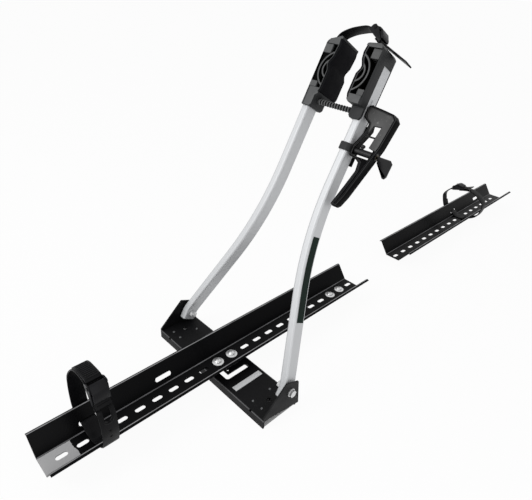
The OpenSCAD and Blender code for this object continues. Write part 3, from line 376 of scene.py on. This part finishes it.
# %% Zinc, aluminium and brass
ARM_LEAN = math.radians(28.5)
zinc = finish("zinc_plated_steel", ("#c9cacc", "#e2e2e1"), 6, 0.5, 0.002, (0.3, 0.42), metal=0.8)[0]
dull_zinc = finish("dulled_zinc", ("#5a5b5c", "#77787a"), 3, 0.5, 0.01, (0.4, 0.5), metal=0.6)[0]
anodised = finish("anodised_aluminium", ("#c6c8ca", "#cfd0d2"), 60, 0.8, 0.0003, (0.46, 0.52), metal=0.35,
                  stretch=(1, 1, 0.04), turn=(0, -ARM_LEAN, 0))[0]
bare_plate = finish("bare_aluminium_plate", ("#d4d5d7", "#e6e7e8"), 6, 0.6, 0.004, (0.4, 0.5), metal=0.15,
                    stretch=(0.1, 1, 1))[0]
brass = finish("nickelled_brass", ("#4d473a", "#6b6453"), 3, 0.4, 0.01, (0.3, 0.45), metal=1.0)[0]
print("metals:", zinc.name, dull_zinc.name, anodised.name, bare_plate.name, brass.name)

# %% [markdown]
# ### Plastics, rubber and film
#
# Moulded nylon takes the spark-eroded grain of its mould, about half a millimetre; at this distance it
# is drawn as one millimetre so that it shows. The jaws are a dark grey, with painted shade, near black, in
# the depth of their cells and a paler painted highlight on the ribs' tops. The buckles and the lever are
# darker. Rubber pads are dull, and the sleeve's ribs greyer.

# %% Jaws, rubber and straps
jaw_nylon = finish("moulded_nylon", ("#232425", "#303132"), 22, 1.0, 0.04, (0.45, 0.6), specular=0.2)[0]
# painted shade: near-black nylon for the deep faces of the jaws' cells
cells_painted_shade = finish("nylon_in_the_dark", ("#020202", "#050505"), 12, 1.0, 0.02, (0.7, 0.8), specular=0.05)[0]
# painted highlight: paler nylon for the ribs' tops and the corner blocks
rib_highlight = finish("rubbed_nylon", ("#464748", "#585959"), 10, 1.0, 0.03, (0.45, 0.6), specular=0.4)[0]
pad_rubber = finish("moulded_rubber", ("#0d0d0f", "#151518"), 14, 1.2, 0.04, (0.6, 0.75), specular=0.06)[0]
sleeve_rubber = finish("ribbed_rubber", ("#5a5b5b", "#727373"), 8, 1.2, 0.02, (0.5, 0.65), specular=0.35)[0]
strap_plastic = finish("flexible_strap_plastic", ("#0a0a0b", "#141416"), 16, 0.9, 0.03, (0.36, 0.5),
                       specular=0.09)[0]
buckle_nylon = finish("glass_filled_nylon", ("#101012", "#1c1c1f"), 12, 0.8, 0.04, (0.34, 0.48),
                      specular=0.12)[0]
print("mouldings:", jaw_nylon.name, pad_rubber.name, strap_plastic.name, buckle_nylon.name)

# %% [markdown]
# The lever is satin black, and a paler tone on its rounded edges is a painted highlight. Its panel is grey
# and scuffed: a finer noise, cut off low down, leaves pale marks. The lock is glossier, and the decal is
# smooth vinyl film.

# %% Lever, lock and decal
SCUFF_MM = 5
SCUFF_DETAIL = 6.0
lever_plastic = finish("satin_black_abs", ("#060607", "#0c0c0d"), 20, 0.9, 0.02, (0.38, 0.5),
                       specular=0.02)[0]
# painted highlight: a paler ABS for the lever's rounded edges
lever_highlight_abs = finish("handled_abs", ("#202021", "#3c3c3d"), 6, 0.9, 0.01, (0.3, 0.42), specular=0.15)[0]
lock_plastic = finish("polished_black_abs", ("#131314", "#1d1d1f"), 12, 0.9, 0.005, (0.25, 0.35),
                      specular=0.3)[0]
film = finish("vinyl_film", ("#020a07", "#07241a"), 12, 2.0, 0.003, (0.35, 0.45), specular=0.06)[0]
grey_panel, tree, shader = finish("scuffed_grey_abs", ("#3a3a3a", "#4a4a4a"), 9, 0.8, 0.04, (0.4, 0.55),
                                  specular=0.35)
scuffs = add(tree, "ShaderNodeMapRange",
             {"Value": noise(tree, own_place(tree), SCUFF_MM, SCUFF_DETAIL),
              "From Min": 0.6, "From Max": 0.75, "To Max": 0.7})
lay_over(tree, shader, scuffs.outputs[0], "#8a8a88")
print("lever and lock:", lever_plastic.name, grey_panel.name, lock_plastic.name, film.name)

# %% [markdown]
# The record names a material slot for each CAD node, and each slot gets its finish. A few pieces look
# unlike the rest of their slot: dull rivets, a lug bare like the arm it sits on, and a polished lock
# and key.

# %% Finishes on the CAD nodes
BY_SLOT = {
    "gloss_black_steel": enamel, "satin_black_steel": powder, "zinc_steel": zinc, "anodised_tube": anodised,
    "bare_plate": bare_plate, "dark_decal": film, "jaw_plastic": jaw_nylon, "pad_rubber": pad_rubber,
    "strap_plastic": strap_plastic, "buckle_plastic": buckle_nylon, "lever_plastic": lever_plastic,
    "grey_panel": grey_panel, "lock_brass": brass,
}
OWN_FINISH = {"plate_rivets": dull_zinc, "lever_bracket": anodised, "lock_barrel": lock_plastic,
              "barrel_stud": lock_plastic, "key": lock_plastic}
record = frame["record"]
slot_of = {part["node"]: part["material_slot"] for part in record["subparts"]}
body_of = {node: body for body, members in record["behaviour"]["bodies"].items() for node in members}
for node, slot in slot_of.items():
    nodes[node].data.materials.clear()
    nodes[node].data.materials.append(OWN_FINISH.get(node, BY_SLOT[slot]))
print(len(slot_of), "CAD nodes in", len(BY_SLOT), "slots,", len(OWN_FINISH), "with a finish of their own")


# %% [markdown]
# ## Straps
#
# The ratchet straps are moulded from a flexible plastic: a flat band with rounded edges and, on two of
# the ladders, a row of small teeth. The CAD solids follow them in short straight steps. Here the same
# paths become smooth ones. A strap could be modelled by hand along a curve, but its section is the same
# all along and its teeth repeat, so a Geometry Nodes tree sweeps the section and sets the teeth.
#
# The paths repeat the points of the CAD source, in millimetres, in each strap's own plane. A strap goes
# through a buckle as x along it and z off it.

# %% Curves in a strap's plane
STRAP_T = 2.5
LAP_GAP = 0.03
BUCKLE_HALF = 18
UNDER_Z = -4.82
TONGUE_Z = -5.1
STEPS = 12


def smooth_curve(points):
    """A Catmull-Rom curve through all the points."""
    points = [Vector(p) for p in points]
    curve = []
    for k in range(len(points) - 1):
        a, b, c, d = points[max(k - 1, 0)], points[k], points[k + 1], points[min(k + 2, len(points) - 1)]
        for t in (s / STEPS for s in range(STEPS)):
            curve.append(0.5 * (2 * b + (c - a) * t + (2 * a - 5 * b + 4 * c - d) * t * t
                                + (3 * b - a - 3 * c + d) * t ** 3))
    return curve + [points[-1]]


def buckle_spots(at, degrees):
    """A function that gives a place in a buckle as a point of the strap's plane."""
    along = Vector((math.cos(math.radians(degrees)), math.sin(math.radians(degrees))))
    off = Vector((-along.y, along.x))
    return lambda x, z: Vector(at) + x * along + z * off


def beside(path, d):
    """The path moved sideways by d, to its left."""
    moved = []
    for k, p in enumerate(path):
        way = (path[min(k + 1, len(path) - 1)] - path[max(k - 1, 0)]).normalized()
        moved.append(p + d * Vector((-way.y, way.x)))
    return moved


JAW_BUCKLE = (-23, 635)
JAW_BUCKLE_TURN = 33
in_front = buckle_spots((-36, 134), 61)
in_rear = buckle_spots((27, 97), -17)
in_jaw = buckle_spots(JAW_BUCKLE, JAW_BUCKLE_TURN)
print("front buckle's mouth at", [round(c, 1) for c in in_front(BUCKLE_HALF, 0)])

# %% [markdown]
# The two wheel straps pass through slots in the rail's walls and lie on its base between them. The
# ladder of the front strap lies on its own band over the top of the loop, and the rear one's on the far
# end of its band. Where a ladder starts and ends on its band is counted in the curve's steps.

# %% Paths of the wheel straps
HEM_Y = 49
SLOT_Y = 28.4
slot_way = [(29.4, 13), (23.4, 11.5), (16.5, 5.87), (8.5, 3.27)]
slot_way_near = [(-y, z) for y, z in slot_way]
slot_way_far = slot_way[::-1]

loop_top = [(47, 107), (29, 132.5), (11, 146.5), (-6, 149.5)]
loop_end = in_front(BUCKLE_HALF + 3, TONGUE_Z - 3.5)
front_near = smooth_curve([
    in_front(-BUCKLE_HALF - 1, UNDER_Z), in_front(-BUCKLE_HALF - 9, UNDER_Z + 1), (-53, 103),
    (-HEM_Y - 8.5, 82), (-HEM_Y - 9.5, 62), (-HEM_Y - 6.5, 44), (-HEM_Y - 2.6, 32), (-SLOT_Y - 10, 20),
    *slot_way_near])
front_far = smooth_curve([
    *slot_way_far, (SLOT_Y + 9, 15.5), (HEM_Y + 3, 26), (HEM_Y + 7, 44), (HEM_Y + 5, 78),
    *loop_top, loop_end, in_front(BUCKLE_HALF - 3, TONGUE_Z)])
front_band_path = [in_front(-5, UNDER_Z)] + front_near + front_far + [in_front(2, TONGUE_Z)]

LAP_FROM, LAP_TO = 20, 32
lap = beside(smooth_curve([*loop_top, loop_end]), -STRAP_T - LAP_GAP)
rise = smooth_curve([lap[LAP_TO - 4], lap[LAP_TO], in_front(BUCKLE_HALF + 4, 0.3),
                     in_front(BUCKLE_HALF - 2, 0)])
front_ladder_path = lap[LAP_FROM:LAP_TO] + rise[STEPS:] + [in_front(-BUCKLE_HALF, 0),
                                                           in_front(-BUCKLE_HALF - 8, 2.2)]

REAR_LAP_STEPS = 16
rear_near = smooth_curve([
    in_rear(-BUCKLE_HALF - 1, UNDER_Z), (-16, 101), (-42, 90), (-61, 72), (-HEM_Y - 13, 52),
    (-HEM_Y - 5, 29), (-SLOT_Y - 10, 16.5), *slot_way_near])
rear_far = smooth_curve([*slot_way_far, (SLOT_Y + 9, 15.5), (HEM_Y + 5, 26), (HEM_Y + 13, 42)])
rear_band_path = [in_rear(-5, UNDER_Z)] + rear_near + rear_far
rear_lap = beside(rear_far, -STRAP_T - LAP_GAP)
rear_ladder_path = (
    rear_lap[-REAR_LAP_STEPS:-1]
    + smooth_curve([rear_lap[-1], (HEM_Y + 20, 64), (57, 82), in_rear(BUCKLE_HALF, 0)])
    + [in_rear(-BUCKLE_HALF - 4, 0), in_rear(-BUCKLE_HALF - 24, 2.5)])


def print_length(label, path):
    print(label, round(sum((b - a).length for a, b in zip(path, path[1:]))), "mm long")


print_length("front band", front_band_path)
print_length("rear band", rear_band_path)

# %% [markdown]
# The third strap goes over the jaws. Its ladder rises from the left jaw and its loose tail stands out
# past the buckle; a short tab holds the buckle on the right jaw.

# %% Paths of the jaw strap
ARM_LEN = 598
JAW_TOP = ARM_LEN + 14
LADDER_Y = 55
TAB_Y = -47
STRAP_ROOT = ARM_LEN + 3
TAIL_TURN = 27
jaw_ladder_path = (
    [Vector((LADDER_Y, STRAP_ROOT))]
    + smooth_curve([(LADDER_Y, JAW_TOP + 4), (53, JAW_TOP + 11), (46, ARM_LEN + 33), (31, ARM_LEN + 41),
                    (15, ARM_LEN + 46), (3, ARM_LEN + 48.5), in_jaw(BUCKLE_HALF + 1.5, 0)])
    + [in_jaw(-BUCKLE_HALF - 2, 0), buckle_spots(JAW_BUCKLE, TAIL_TURN)(-86, 3)])
start = in_jaw(-4, UNDER_Z)
bend = Vector((TAB_Y, start.y - (start.x - TAB_Y) * math.tan(math.radians(JAW_BUCKLE_TURN))))
jaw_tab_path = (
    [start]
    + smooth_curve([bend.lerp(start, 0.3), bend + Vector((0.9, -0.3)), bend - Vector((0, 4.5))])
    + [Vector((TAB_Y, STRAP_ROOT))])
print_length("jaw ladder", jaw_ladder_path)


# %% [markdown]
# The tree takes the path as a chain of edges. It is made a curve, cut into even steps and swept with a
# rounded rectangle; Set Curve Normal keeps the section's wide side square to the strap's plane. A part
# of the same curve is cut to the teeth's pitch, and each point gets a small round bar that is half
# sunk in the strap. A tooth width of 0 leaves the teeth out.

# %% Geometry Nodes tree of a strap
def new_tree(name, inputs):
    """A Geometry Nodes tree with named inputs, its input node's outputs and its output node."""
    tree = bpy.data.node_groups.new(name, "GeometryNodeTree")
    tree.interface.new_socket("Geometry", in_out="INPUT", socket_type="NodeSocketGeometry")
    for label, kind in inputs.items():
        tree.interface.new_socket(label, in_out="INPUT", socket_type="NodeSocket" + kind)
    tree.interface.new_socket("Geometry", in_out="OUTPUT", socket_type="NodeSocketGeometry")
    return tree, tree.nodes.new("NodeGroupInput").outputs, tree.nodes.new("NodeGroupOutput")


SWEEP_STEP = 1.5 * MM
LEAST_TOOTH = 0.1 * MM
strap_tree, given, result = new_tree("moulded_strap", {
    "Side": "Vector", "Width": "Float", "Thickness": "Float", "Edge": "Float", "Teeth From": "Float",
    "Teeth To": "Float", "Tooth Pitch": "Float", "Tooth Width": "Float", "Tooth Radius": "Float",
    "Tooth Offset": "Float", "Material": "Material"})
put = partial(add, strap_tree)
line = put("GeometryNodeMeshToCurve", {"Mesh": given["Geometry"]})
even = put("GeometryNodeResampleCurve", {"Curve": line.outputs[0], "Length": SWEEP_STEP}, mode="LENGTH")
squared = put("GeometryNodeSetCurveNormal", {"Curve": even.outputs[0], "Normal": given["Side"]}, mode="FREE")
outline = put("GeometryNodeCurvePrimitiveQuadrilateral",
              {"Width": given["Width"], "Height": given["Thickness"]})
rounded = put("GeometryNodeFilletCurve",
              {"Curve": outline.outputs[0], "Radius": given["Edge"], "Count": 3}, mode="POLY")
band = put("GeometryNodeCurveToMesh",
           {"Curve": squared.outputs[0], "Profile Curve": rounded.outputs[0], "Fill Caps": True})
run = put("GeometryNodeTrimCurve",
          {"Curve": squared.outputs[0], "Start": given["Teeth From"], "End": given["Teeth To"]},
          mode="FACTOR")
spots = put("GeometryNodeResampleCurve",
            {"Curve": run.outputs[0], "Length": given["Tooth Pitch"]}, mode="LENGTH")
bar = put("GeometryNodeMeshCylinder",
          {"Vertices": 10, "Radius": given["Tooth Radius"], "Depth": given["Tooth Width"]})
laid = put("GeometryNodeTransform", {"Geometry": bar.outputs["Mesh"], "Rotation": (0, math.pi / 2, 0)})
lift = put("ShaderNodeCombineXYZ", {"Z": given["Tooth Offset"]})
raised = put("GeometryNodeTransform", {"Geometry": laid.outputs[0], "Translation": lift.outputs[0]})
tangent = put("GeometryNodeInputTangent")
facing = put("FunctionNodeAxesToRotation",
             {"Primary Axis": tangent.outputs[0], "Secondary Axis": given["Side"]},
             primary_axis="Y", secondary_axis="X")
wanted = put("FunctionNodeCompare", {0: given["Tooth Width"], 1: LEAST_TOOTH},
             data_type="FLOAT", operation="GREATER_THAN")
teeth = put("GeometryNodeInstanceOnPoints",
            {"Points": spots.outputs[0], "Selection": wanted.outputs[0], "Instance": raised.outputs[0],
             "Rotation": facing.outputs[0]})
joined = put("GeometryNodeJoinGeometry")
for branch in (band, teeth):
    strap_tree.links.new(branch.outputs[0], joined.inputs[0])
real = put("GeometryNodeRealizeInstances", {"Geometry": joined.outputs[0]})
dressed = put("GeometryNodeSetMaterial", {"Geometry": real.outputs[0], "Material": given["Material"]})
strap_tree.links.new(dressed.outputs[0], result.inputs[0])
print("strap tree:", len(strap_tree.nodes), "nodes")


# %% [markdown]
# A small function sets a tree's inputs by their identifiers, evaluates it once and keeps the result as
# a plain mesh, because the export drops live instances. Edges sharper than a fillet step stay crisp.

# %% From a tree to a plain piece
CREASE = math.radians(40)


def new_piece(name, mesh):
    piece = bpy.data.objects.new(name, mesh)
    scene.collection.objects.link(piece)
    return piece


def bake(piece):
    """Turns a piece's modifiers into plain mesh, with smooth faces and crisp corners."""
    evaluated = piece.evaluated_get(bpy.context.evaluated_depsgraph_get())
    mesh = bpy.data.meshes.new_from_object(evaluated)
    piece.modifiers.clear()
    piece.data = mesh
    mesh.name = piece.name
    mesh.polygons.foreach_set("use_smooth", [True] * len(mesh.polygons))
    mesh.set_sharp_from_angle(angle=CREASE)
    mesh.update()


def grown(piece, tree, **values):
    """Runs the tree on the piece and leaves it as a plain mesh."""
    modifier = piece.modifiers.new(tree.name, "NODES")
    modifier.node_group = tree
    for socket in tree.interface.items_tree:
        key = socket.name.replace(" ", "_").lower()
        if socket.in_out == "INPUT" and key in values:
            modifier[socket.identifier] = values[key]
    bake(piece)


def stands_for(piece, node):
    """The piece rides on the node's body and shows in its place."""
    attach(piece, body_of[node])
    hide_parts(node)
    print(piece.name, "stands for", node, "with", len(piece.data.polygons), "faces")


def chain(name, points, closed=False):
    """A mesh of edges from point to point."""
    mesh = bpy.data.meshes.new(name)
    links = [(k, k + 1) for k in range(len(points) - 1)] + ([(len(points) - 1, 0)] if closed else [])
    mesh.from_pydata(points, links, [])
    return mesh


print("crisp from", round(math.degrees(CREASE)), "degrees")

# %% [markdown]
# Each strap lies in a plane. The wheel straps' planes stand square across the rails, and the jaw strap's
# is the plane of the arms, which leans back about the pivot bolts.

# %% Six straps
FRONT_STRAP_X = -265.5
REAR_STRAP_X = 1024
RAIL_SEAT_Z = 3
PIVOT_X, PIVOT_Z = 25, 28
ARM_PIVOT = Vector((PIVOT_X, 0, PIVOT_Z)) * MM
ARM_UP = Vector((math.sin(ARM_LEAN), 0, math.cos(ARM_LEAN)))
ARM_SQUARE = Vector((math.cos(ARM_LEAN), 0, -math.sin(ARM_LEAN)))
BAND_W, LADDER_W, TAB_W = 27, 25, 21
STRAP_EDGE = 0.7
TOOTH_PITCH, TOOTH_W, TOOTH_R = 4, 19, 0.8


def on_rail(x):
    """A point of a wheel strap's plane in the frame, and the plane's normal."""
    def place(p):
        return Vector((x * MM, RAIL_MIDDLE_Y + p.x * MM, RAIL_SEAT_Z * MM + p.y * MM))

    return place, Vector((1, 0, 0))


def on_arms():
    """A point of the arms' plane in the frame, and the plane's normal."""
    return lambda p: Vector((PIVOT_X * MM, p.x * MM, PIVOT_Z * MM)) + ARM_UP * (p.y * MM), ARM_SQUARE


def sweep(piece, side, width, thickness, edge, teeth=None):
    """Sweeps a rounded section along the piece's chain, with teeth from one share of it to another."""
    first, last = teeth or (0.0, 1.0)
    grown(piece, strap_tree, side=side, width=width * MM, thickness=thickness * MM, edge=edge * MM,
          teeth_from=first, teeth_to=last, tooth_pitch=TOOTH_PITCH * MM,
          tooth_width=(TOOTH_W if teeth else 0) * MM, tooth_radius=TOOTH_R * MM,
          tooth_offset=-thickness / 2 * MM, material=strap_plastic)


def strap(node, path, plane, width, teeth=None):
    place, side = plane
    piece = new_piece(node + "_moulded", chain(node, [place(p) for p in path]))
    sweep(piece, side, width, STRAP_T, STRAP_EDGE, teeth)
    return piece


at_front, at_rear, at_jaws = on_rail(FRONT_STRAP_X), on_rail(REAR_STRAP_X), on_arms()
straps = {
    "front_band": strap("front_band", front_band_path, at_front, BAND_W),
    "front_ladder": strap("front_ladder", front_ladder_path, at_front, LADDER_W, (0.04, 0.95)),
    "rear_band": strap("rear_band", rear_band_path, at_rear, BAND_W),
    "rear_ladder": strap("rear_ladder", rear_ladder_path, at_rear, LADDER_W, (0.3, 0.9)),
    "jaw_ladder": strap("jaw_ladder", jaw_ladder_path, at_jaws, LADDER_W),
    "jaw_tab_strap": strap("jaw_tab_strap", jaw_tab_path, at_jaws, TAB_W),
}
print(len(straps), "straps swept")


# %% [markdown]
# The front strap's band has a long opening with a raised rim, to hook it up when it is not in use, and
# two small holes below. A Boolean modifier cuts them with plain prisms, which is exact and keeps the
# swept surface as it is. The rim is one more sweep, round the opening's outline.

# %% Opening and holes of the front band
OPENING = (26, 12)
OPENING_Z = 102
HOLE = (5.52, 5.5)  # round but for a hair, so that the outline has no two points in one place
HOLES_Z = (58, 71)
BAND_OUTSIDE_Y = -66
RIM = (29.5, 15.5)
RIM_T = 3.2
RIM_EDGE = 1.4


def stadium(length, width, steps=12):
    """A slot's outline about the origin, along its second axis."""
    r, run = width / 2, (length - width) / 2
    turns = [math.pi * k / steps for k in range(steps + 1)]
    return ([Vector((r * math.cos(a), run + r * math.sin(a))) for a in turns]
            + [Vector((-r * math.cos(a), -run - r * math.sin(a))) for a in turns])


def prism(outline, height, far):
    """A cutter: an outline about a height on the band, drawn out along Y from outside it."""
    count = len(outline)
    points = [((FRONT_STRAP_X + p.x) * MM, y * MM, (height + p.y) * MM)
              for y in (BAND_OUTSIDE_Y, far) for p in outline]
    faces = [[(k + 1) % count, k, count + k, count + (k + 1) % count] for k in range(count)]
    mesh = bpy.data.meshes.new("cutter")
    mesh.from_pydata(points, [], faces + [list(range(count)), list(range(2 * count - 1, count - 1, -1))])
    work = bmesh.new()
    work.from_mesh(mesh)
    bmesh.ops.recalc_face_normals(work, faces=work.faces)
    work.to_mesh(mesh)
    work.free()
    return new_piece("cutter", mesh)


def band_face(z):
    """Y of the band's outer face on the near side at a height, in millimetres."""
    near = min((p for p in front_band_path if p.x < -30), key=lambda p: abs(p.y + RAIL_SEAT_Z - z))
    return RAIL_MIDDLE_Y / MM + near.x - STRAP_T / 2


cutters = [prism(stadium(*OPENING), OPENING_Z, -40)] + [prism(stadium(*HOLE), z, -44) for z in HOLES_Z]
for cutter in cutters:
    cut = straps["front_band"].modifiers.new("opening", "BOOLEAN")
    cut.operation, cut.solver, cut.object = "DIFFERENCE", "EXACT", cutter
bake(straps["front_band"])
for cutter in cutters:
    bpy.data.objects.remove(cutter)

around = [((FRONT_STRAP_X + p.x) * MM, band_face(OPENING_Z + p.y) * MM, (OPENING_Z + p.y) * MM)
          for p in stadium(*RIM)]
rim = new_piece("front_band_rim", chain("front_band_rim", around, closed=True))
sweep(rim, Vector((0, 1, 0)), RIM_T, RIM_T, RIM_EDGE)
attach(rim, "base")
for node, piece in straps.items():
    stands_for(piece, node)


# %% [markdown]
# ## Ribbed sleeve
#
# A rubber sleeve with round ribs covers the rod between the jaws. A lathe profile would do, but equal
# ribs along a line are what instancing is for: one ring is swept, set on evenly spaced points and
# turned to face along the rod. The ribs get a grey rubber, and the core a near-black one as painted shade
# between the ribs.

# %% Geometry Nodes tree of the sleeve
sleeve_tree, given, result = new_tree("ribbed_sleeve", {
    "Start": "Vector", "End": "Vector", "Ribs": "Int", "Core Radius": "Float", "Rib Radius": "Float",
    "Rib Thickness": "Float", "Rib Material": "Material", "Core Material": "Material"})
put = partial(add, sleeve_tree)
rod = put("GeometryNodeCurvePrimitiveLine", {"Start": given["Start"], "End": given["End"]})
round_core = put("GeometryNodeCurvePrimitiveCircle", {"Resolution": 24, "Radius": given["Core Radius"]})
core = put("GeometryNodeCurveToMesh",
           {"Curve": rod.outputs[0], "Profile Curve": round_core.outputs[0], "Fill Caps": True})
dark_core = put("GeometryNodeSetMaterial", {"Geometry": core.outputs[0], "Material": given["Core Material"]})
places = put("GeometryNodeResampleCurve", {"Curve": rod.outputs[0], "Count": given["Ribs"]}, mode="COUNT")
hoop = put("GeometryNodeCurvePrimitiveCircle", {"Resolution": 28, "Radius": given["Rib Radius"]})
bead = put("GeometryNodeCurvePrimitiveCircle", {"Resolution": 10, "Radius": given["Rib Thickness"]})
ring = put("GeometryNodeCurveToMesh", {"Curve": hoop.outputs[0], "Profile Curve": bead.outputs[0]})
tangent = put("GeometryNodeInputTangent")
facing = put("FunctionNodeAxesToRotation",
             {"Primary Axis": tangent.outputs[0], "Secondary Axis": (1, 0, 0)},
             primary_axis="Z", secondary_axis="X")
ribs = put("GeometryNodeInstanceOnPoints",
           {"Points": places.outputs[0], "Instance": ring.outputs[0], "Rotation": facing.outputs[0]})
real = put("GeometryNodeRealizeInstances", {"Geometry": ribs.outputs[0]})
pale_ribs = put("GeometryNodeSetMaterial", {"Geometry": real.outputs[0], "Material": given["Rib Material"]})
whole = put("GeometryNodeJoinGeometry")
for branch in (dark_core, pale_ribs):
    sleeve_tree.links.new(branch.outputs[0], whole.inputs[0])
sleeve_tree.links.new(whole.outputs[0], result.inputs[0])
print("sleeve tree:", len(sleeve_tree.nodes), "nodes")

# %% Sleeve on the rod
SLEEVE_HALF = 42.9
SLEEVE_S = 502
SLEEVE_RIBS = 14
CORE_R, RIB_R, BEAD_R = 4.3, 4.0, 1.5
end_y = SLEEVE_HALF - SLEEVE_HALF / SLEEVE_RIBS
place = at_jaws[0]
sleeve = new_piece("rod_sleeve_ribbed", bpy.data.meshes.new("rod_sleeve_ribbed"))
# painted shade: the core's near-black rubber stands for the shade between the ribs
grown(sleeve, sleeve_tree, start=place(Vector((-end_y, SLEEVE_S))), end=place(Vector((end_y, SLEEVE_S))),
      ribs=SLEEVE_RIBS, core_radius=CORE_R * MM, rib_radius=RIB_R * MM, rib_thickness=BEAD_R * MM,
      rib_material=sleeve_rubber, core_material=pad_rubber)
stands_for(sleeve, "rod_sleeve")


# %% [markdown]
# ## Moulded edges
#
# Nothing that comes out of a mould has a knife edge. The CAD solids do, so the jaws, the lever, the
# buckles and the other mouldings are shown by copies whose edges are rounded. A copy of a CAD mesh is
# loose triangles: its points are merged and its flat faces made whole first, or the Bevel modifier would
# have nothing to follow. Where two edges are almost in line a bevel can throw out a spike, so points that
# end up further from the CAD surface than the edge's width go back on it.

# %% Rounding a moulding's edges
SAME_POINT = 0.001 * MM
SAME_PLANE = math.radians(0.5)
SHARP = math.radians(35)
EDGE_STEPS = 3


def softened(node, edge_mm, edge_highlight=None):
    """A copy of a CAD node with its sharp edges rounded, and with a second finish, when given, on the rounded
    edges as a painted highlight.
    """
    work = bmesh.new()
    work.from_mesh(nodes[node].data)
    bmesh.ops.remove_doubles(work, verts=work.verts, dist=SAME_POINT)
    bmesh.ops.dissolve_limit(work, angle_limit=SAME_PLANE, verts=work.verts, edges=work.edges)
    surface = BVHTree.FromBMesh(work)
    mesh = bpy.data.meshes.new(node + "_rounded")
    work.to_mesh(mesh)
    work.free()
    if "custom_normal" in mesh.attributes:
        mesh.attributes.remove(mesh.attributes["custom_normal"])
    mesh.materials.clear()
    mesh.materials.append(nodes[node].data.materials[0])
    piece = new_piece(node + "_rounded", mesh)
    bevel = piece.modifiers.new("rounded_edges", "BEVEL")
    bevel.width, bevel.segments = edge_mm * MM, EDGE_STEPS
    bevel.limit_method, bevel.angle_limit = "ANGLE", SHARP
    bevel.use_clamp_overlap = False
    if edge_highlight:
        mesh.materials.append(edge_highlight)
        bevel.material = 1
    bake(piece)
    for point in piece.data.vertices:
        nearest, _, _, gap = surface.find_nearest(point.co)
        if gap > edge_mm * MM:
            point.co = nearest
    piece.data.update()
    return piece


EDGES_MM = {
    "lever": 0.9, "lever_panel": 0.3, "key": 0.6, "arm_collar": 0.9, "barrel_stud": 0.4,
    "left_pad": 0.8, "right_pad": 0.8,
    **{f"{place}_buckle_{part}": 0.6 for place in ("front", "jaw", "rear") for part in ("frame", "lever")},
}
# painted highlight on the lever's rounded edges
EDGE_HIGHLIGHTS = {"lever": lever_highlight_abs}
for node, edge in EDGES_MM.items():
    stands_for(softened(node, edge, EDGE_HIGHLIGHTS.get(node)), node)

# %% [markdown]
# The jaws' fronts are open cells with ring ribs in them. The cells are deep; their deep faces are painted
# near black as shade, and the tops of the ribs get a paler painted highlight. Which face is which follows
# from its place in the arms' own frame: y from the middle, s up along the arms and depth square to them. The
# faces are sorted by it in Python.

# %% Jaws with dark cells
JAW_EDGE = 0.7
CELLS_Y = (37, 66.4)
CELLS_S = (521.6, 603.4)
DEEP = 0.9
RIB_HALF = 1.9
RINGS = ((24, 558, 34), (33, 559, 17))  # each ring rib's y, s and radius
JAW_FRONTS = {"left_jaw": -21.5, "right_jaw": -38.0}
# face materials: 1 is painted shade in the cells, 2 a painted highlight on the ribs' tops
DARK, PALE = 1, 2


def dress_jaw(node, front):
    """Rounds a jaw and sorts its faces; front is the place of its front face, square to the arms."""
    piece = softened(node, JAW_EDGE)
    piece.data.materials.append(cells_painted_shade)
    piece.data.materials.append(rib_highlight)
    count = {DARK: 0, PALE: 0}
    for face in piece.data.polygons:
        away = face.center - ARM_PIVOT
        depth = away.dot(ARM_SQUARE) / MM - front
        y, s = abs(away.y) / MM, away.dot(ARM_UP) / MM
        if not (CELLS_Y[0] < y < CELLS_Y[1] and CELLS_S[0] < s < CELLS_S[1]):
            continue
        if depth >= DEEP:
            face.material_index = DARK
        elif min(abs(math.hypot(y - c, s - h) - r) for c, h, r in RINGS) < RIB_HALF:
            face.material_index = PALE
        if face.material_index:
            count[face.material_index] += 1
    print(node, count[DARK], "dark faces and", count[PALE], "pale ones")
    stands_for(piece, node)


for node, front in JAW_FRONTS.items():
    dress_jaw(node, front)

# %% [markdown]
# Flat blocks close the outer corners of the cells, just under the ribs' tops. They are pieces of their
# own that ride with the arms, and take the ribs' paler nylon as a painted highlight.

# %% Corner blocks
BLOCKS = ((50.2, 65.8, 522.2, 533.0), (48.5, 65.8, 586.5, 602.8))  # y from and to, s from and to
BLOCK_EDGE = 0.5


def corner_blocks(name, side, near, far):
    """Blocks in the outer corners of a jaw's cells, from one depth to another, square to the arms."""
    work = bmesh.new()
    for y0, y1, s0, s1 in BLOCKS:
        for corner in bmesh.ops.create_cube(work, size=1.0)["verts"]:
            n, y, s = (low + (high - low) * (c + 0.5)
                       for c, low, high in zip(corner.co, (near, y0, s0), (far, y1, s1)))
            corner.co = ARM_PIVOT + (ARM_SQUARE * n + Vector((0, side * y, 0)) + ARM_UP * s) * MM
    bmesh.ops.bevel(work, geom=work.edges[:], offset=BLOCK_EDGE * MM, segments=2, profile=0.5, affect="EDGES")
    bmesh.ops.recalc_face_normals(work, faces=work.faces)
    mesh = bpy.data.meshes.new(name)
    work.to_mesh(mesh)
    work.free()
    # painted highlight: the ribs' paler nylon
    mesh.materials.append(rib_highlight)
    piece = new_piece(name, mesh)
    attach(piece, "arms")
    print(name, len(mesh.polygons), "faces")


corner_blocks("left_corner_blocks", side=1, near=-20.4, far=-16.2)
corner_blocks("right_corner_blocks", side=-1, near=-34.0, far=-17.2)


# %% [markdown]
# ## Sizes
#
# The visual model's box is printed in millimetres, to set beside the CAD model's box printed at the start.
# The visual model has to stay in the CAD model's box.

# %% Sizes
low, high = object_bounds()
print("visual box in mm:", [round((b - a) / MM) for a, b in zip(low, high)])
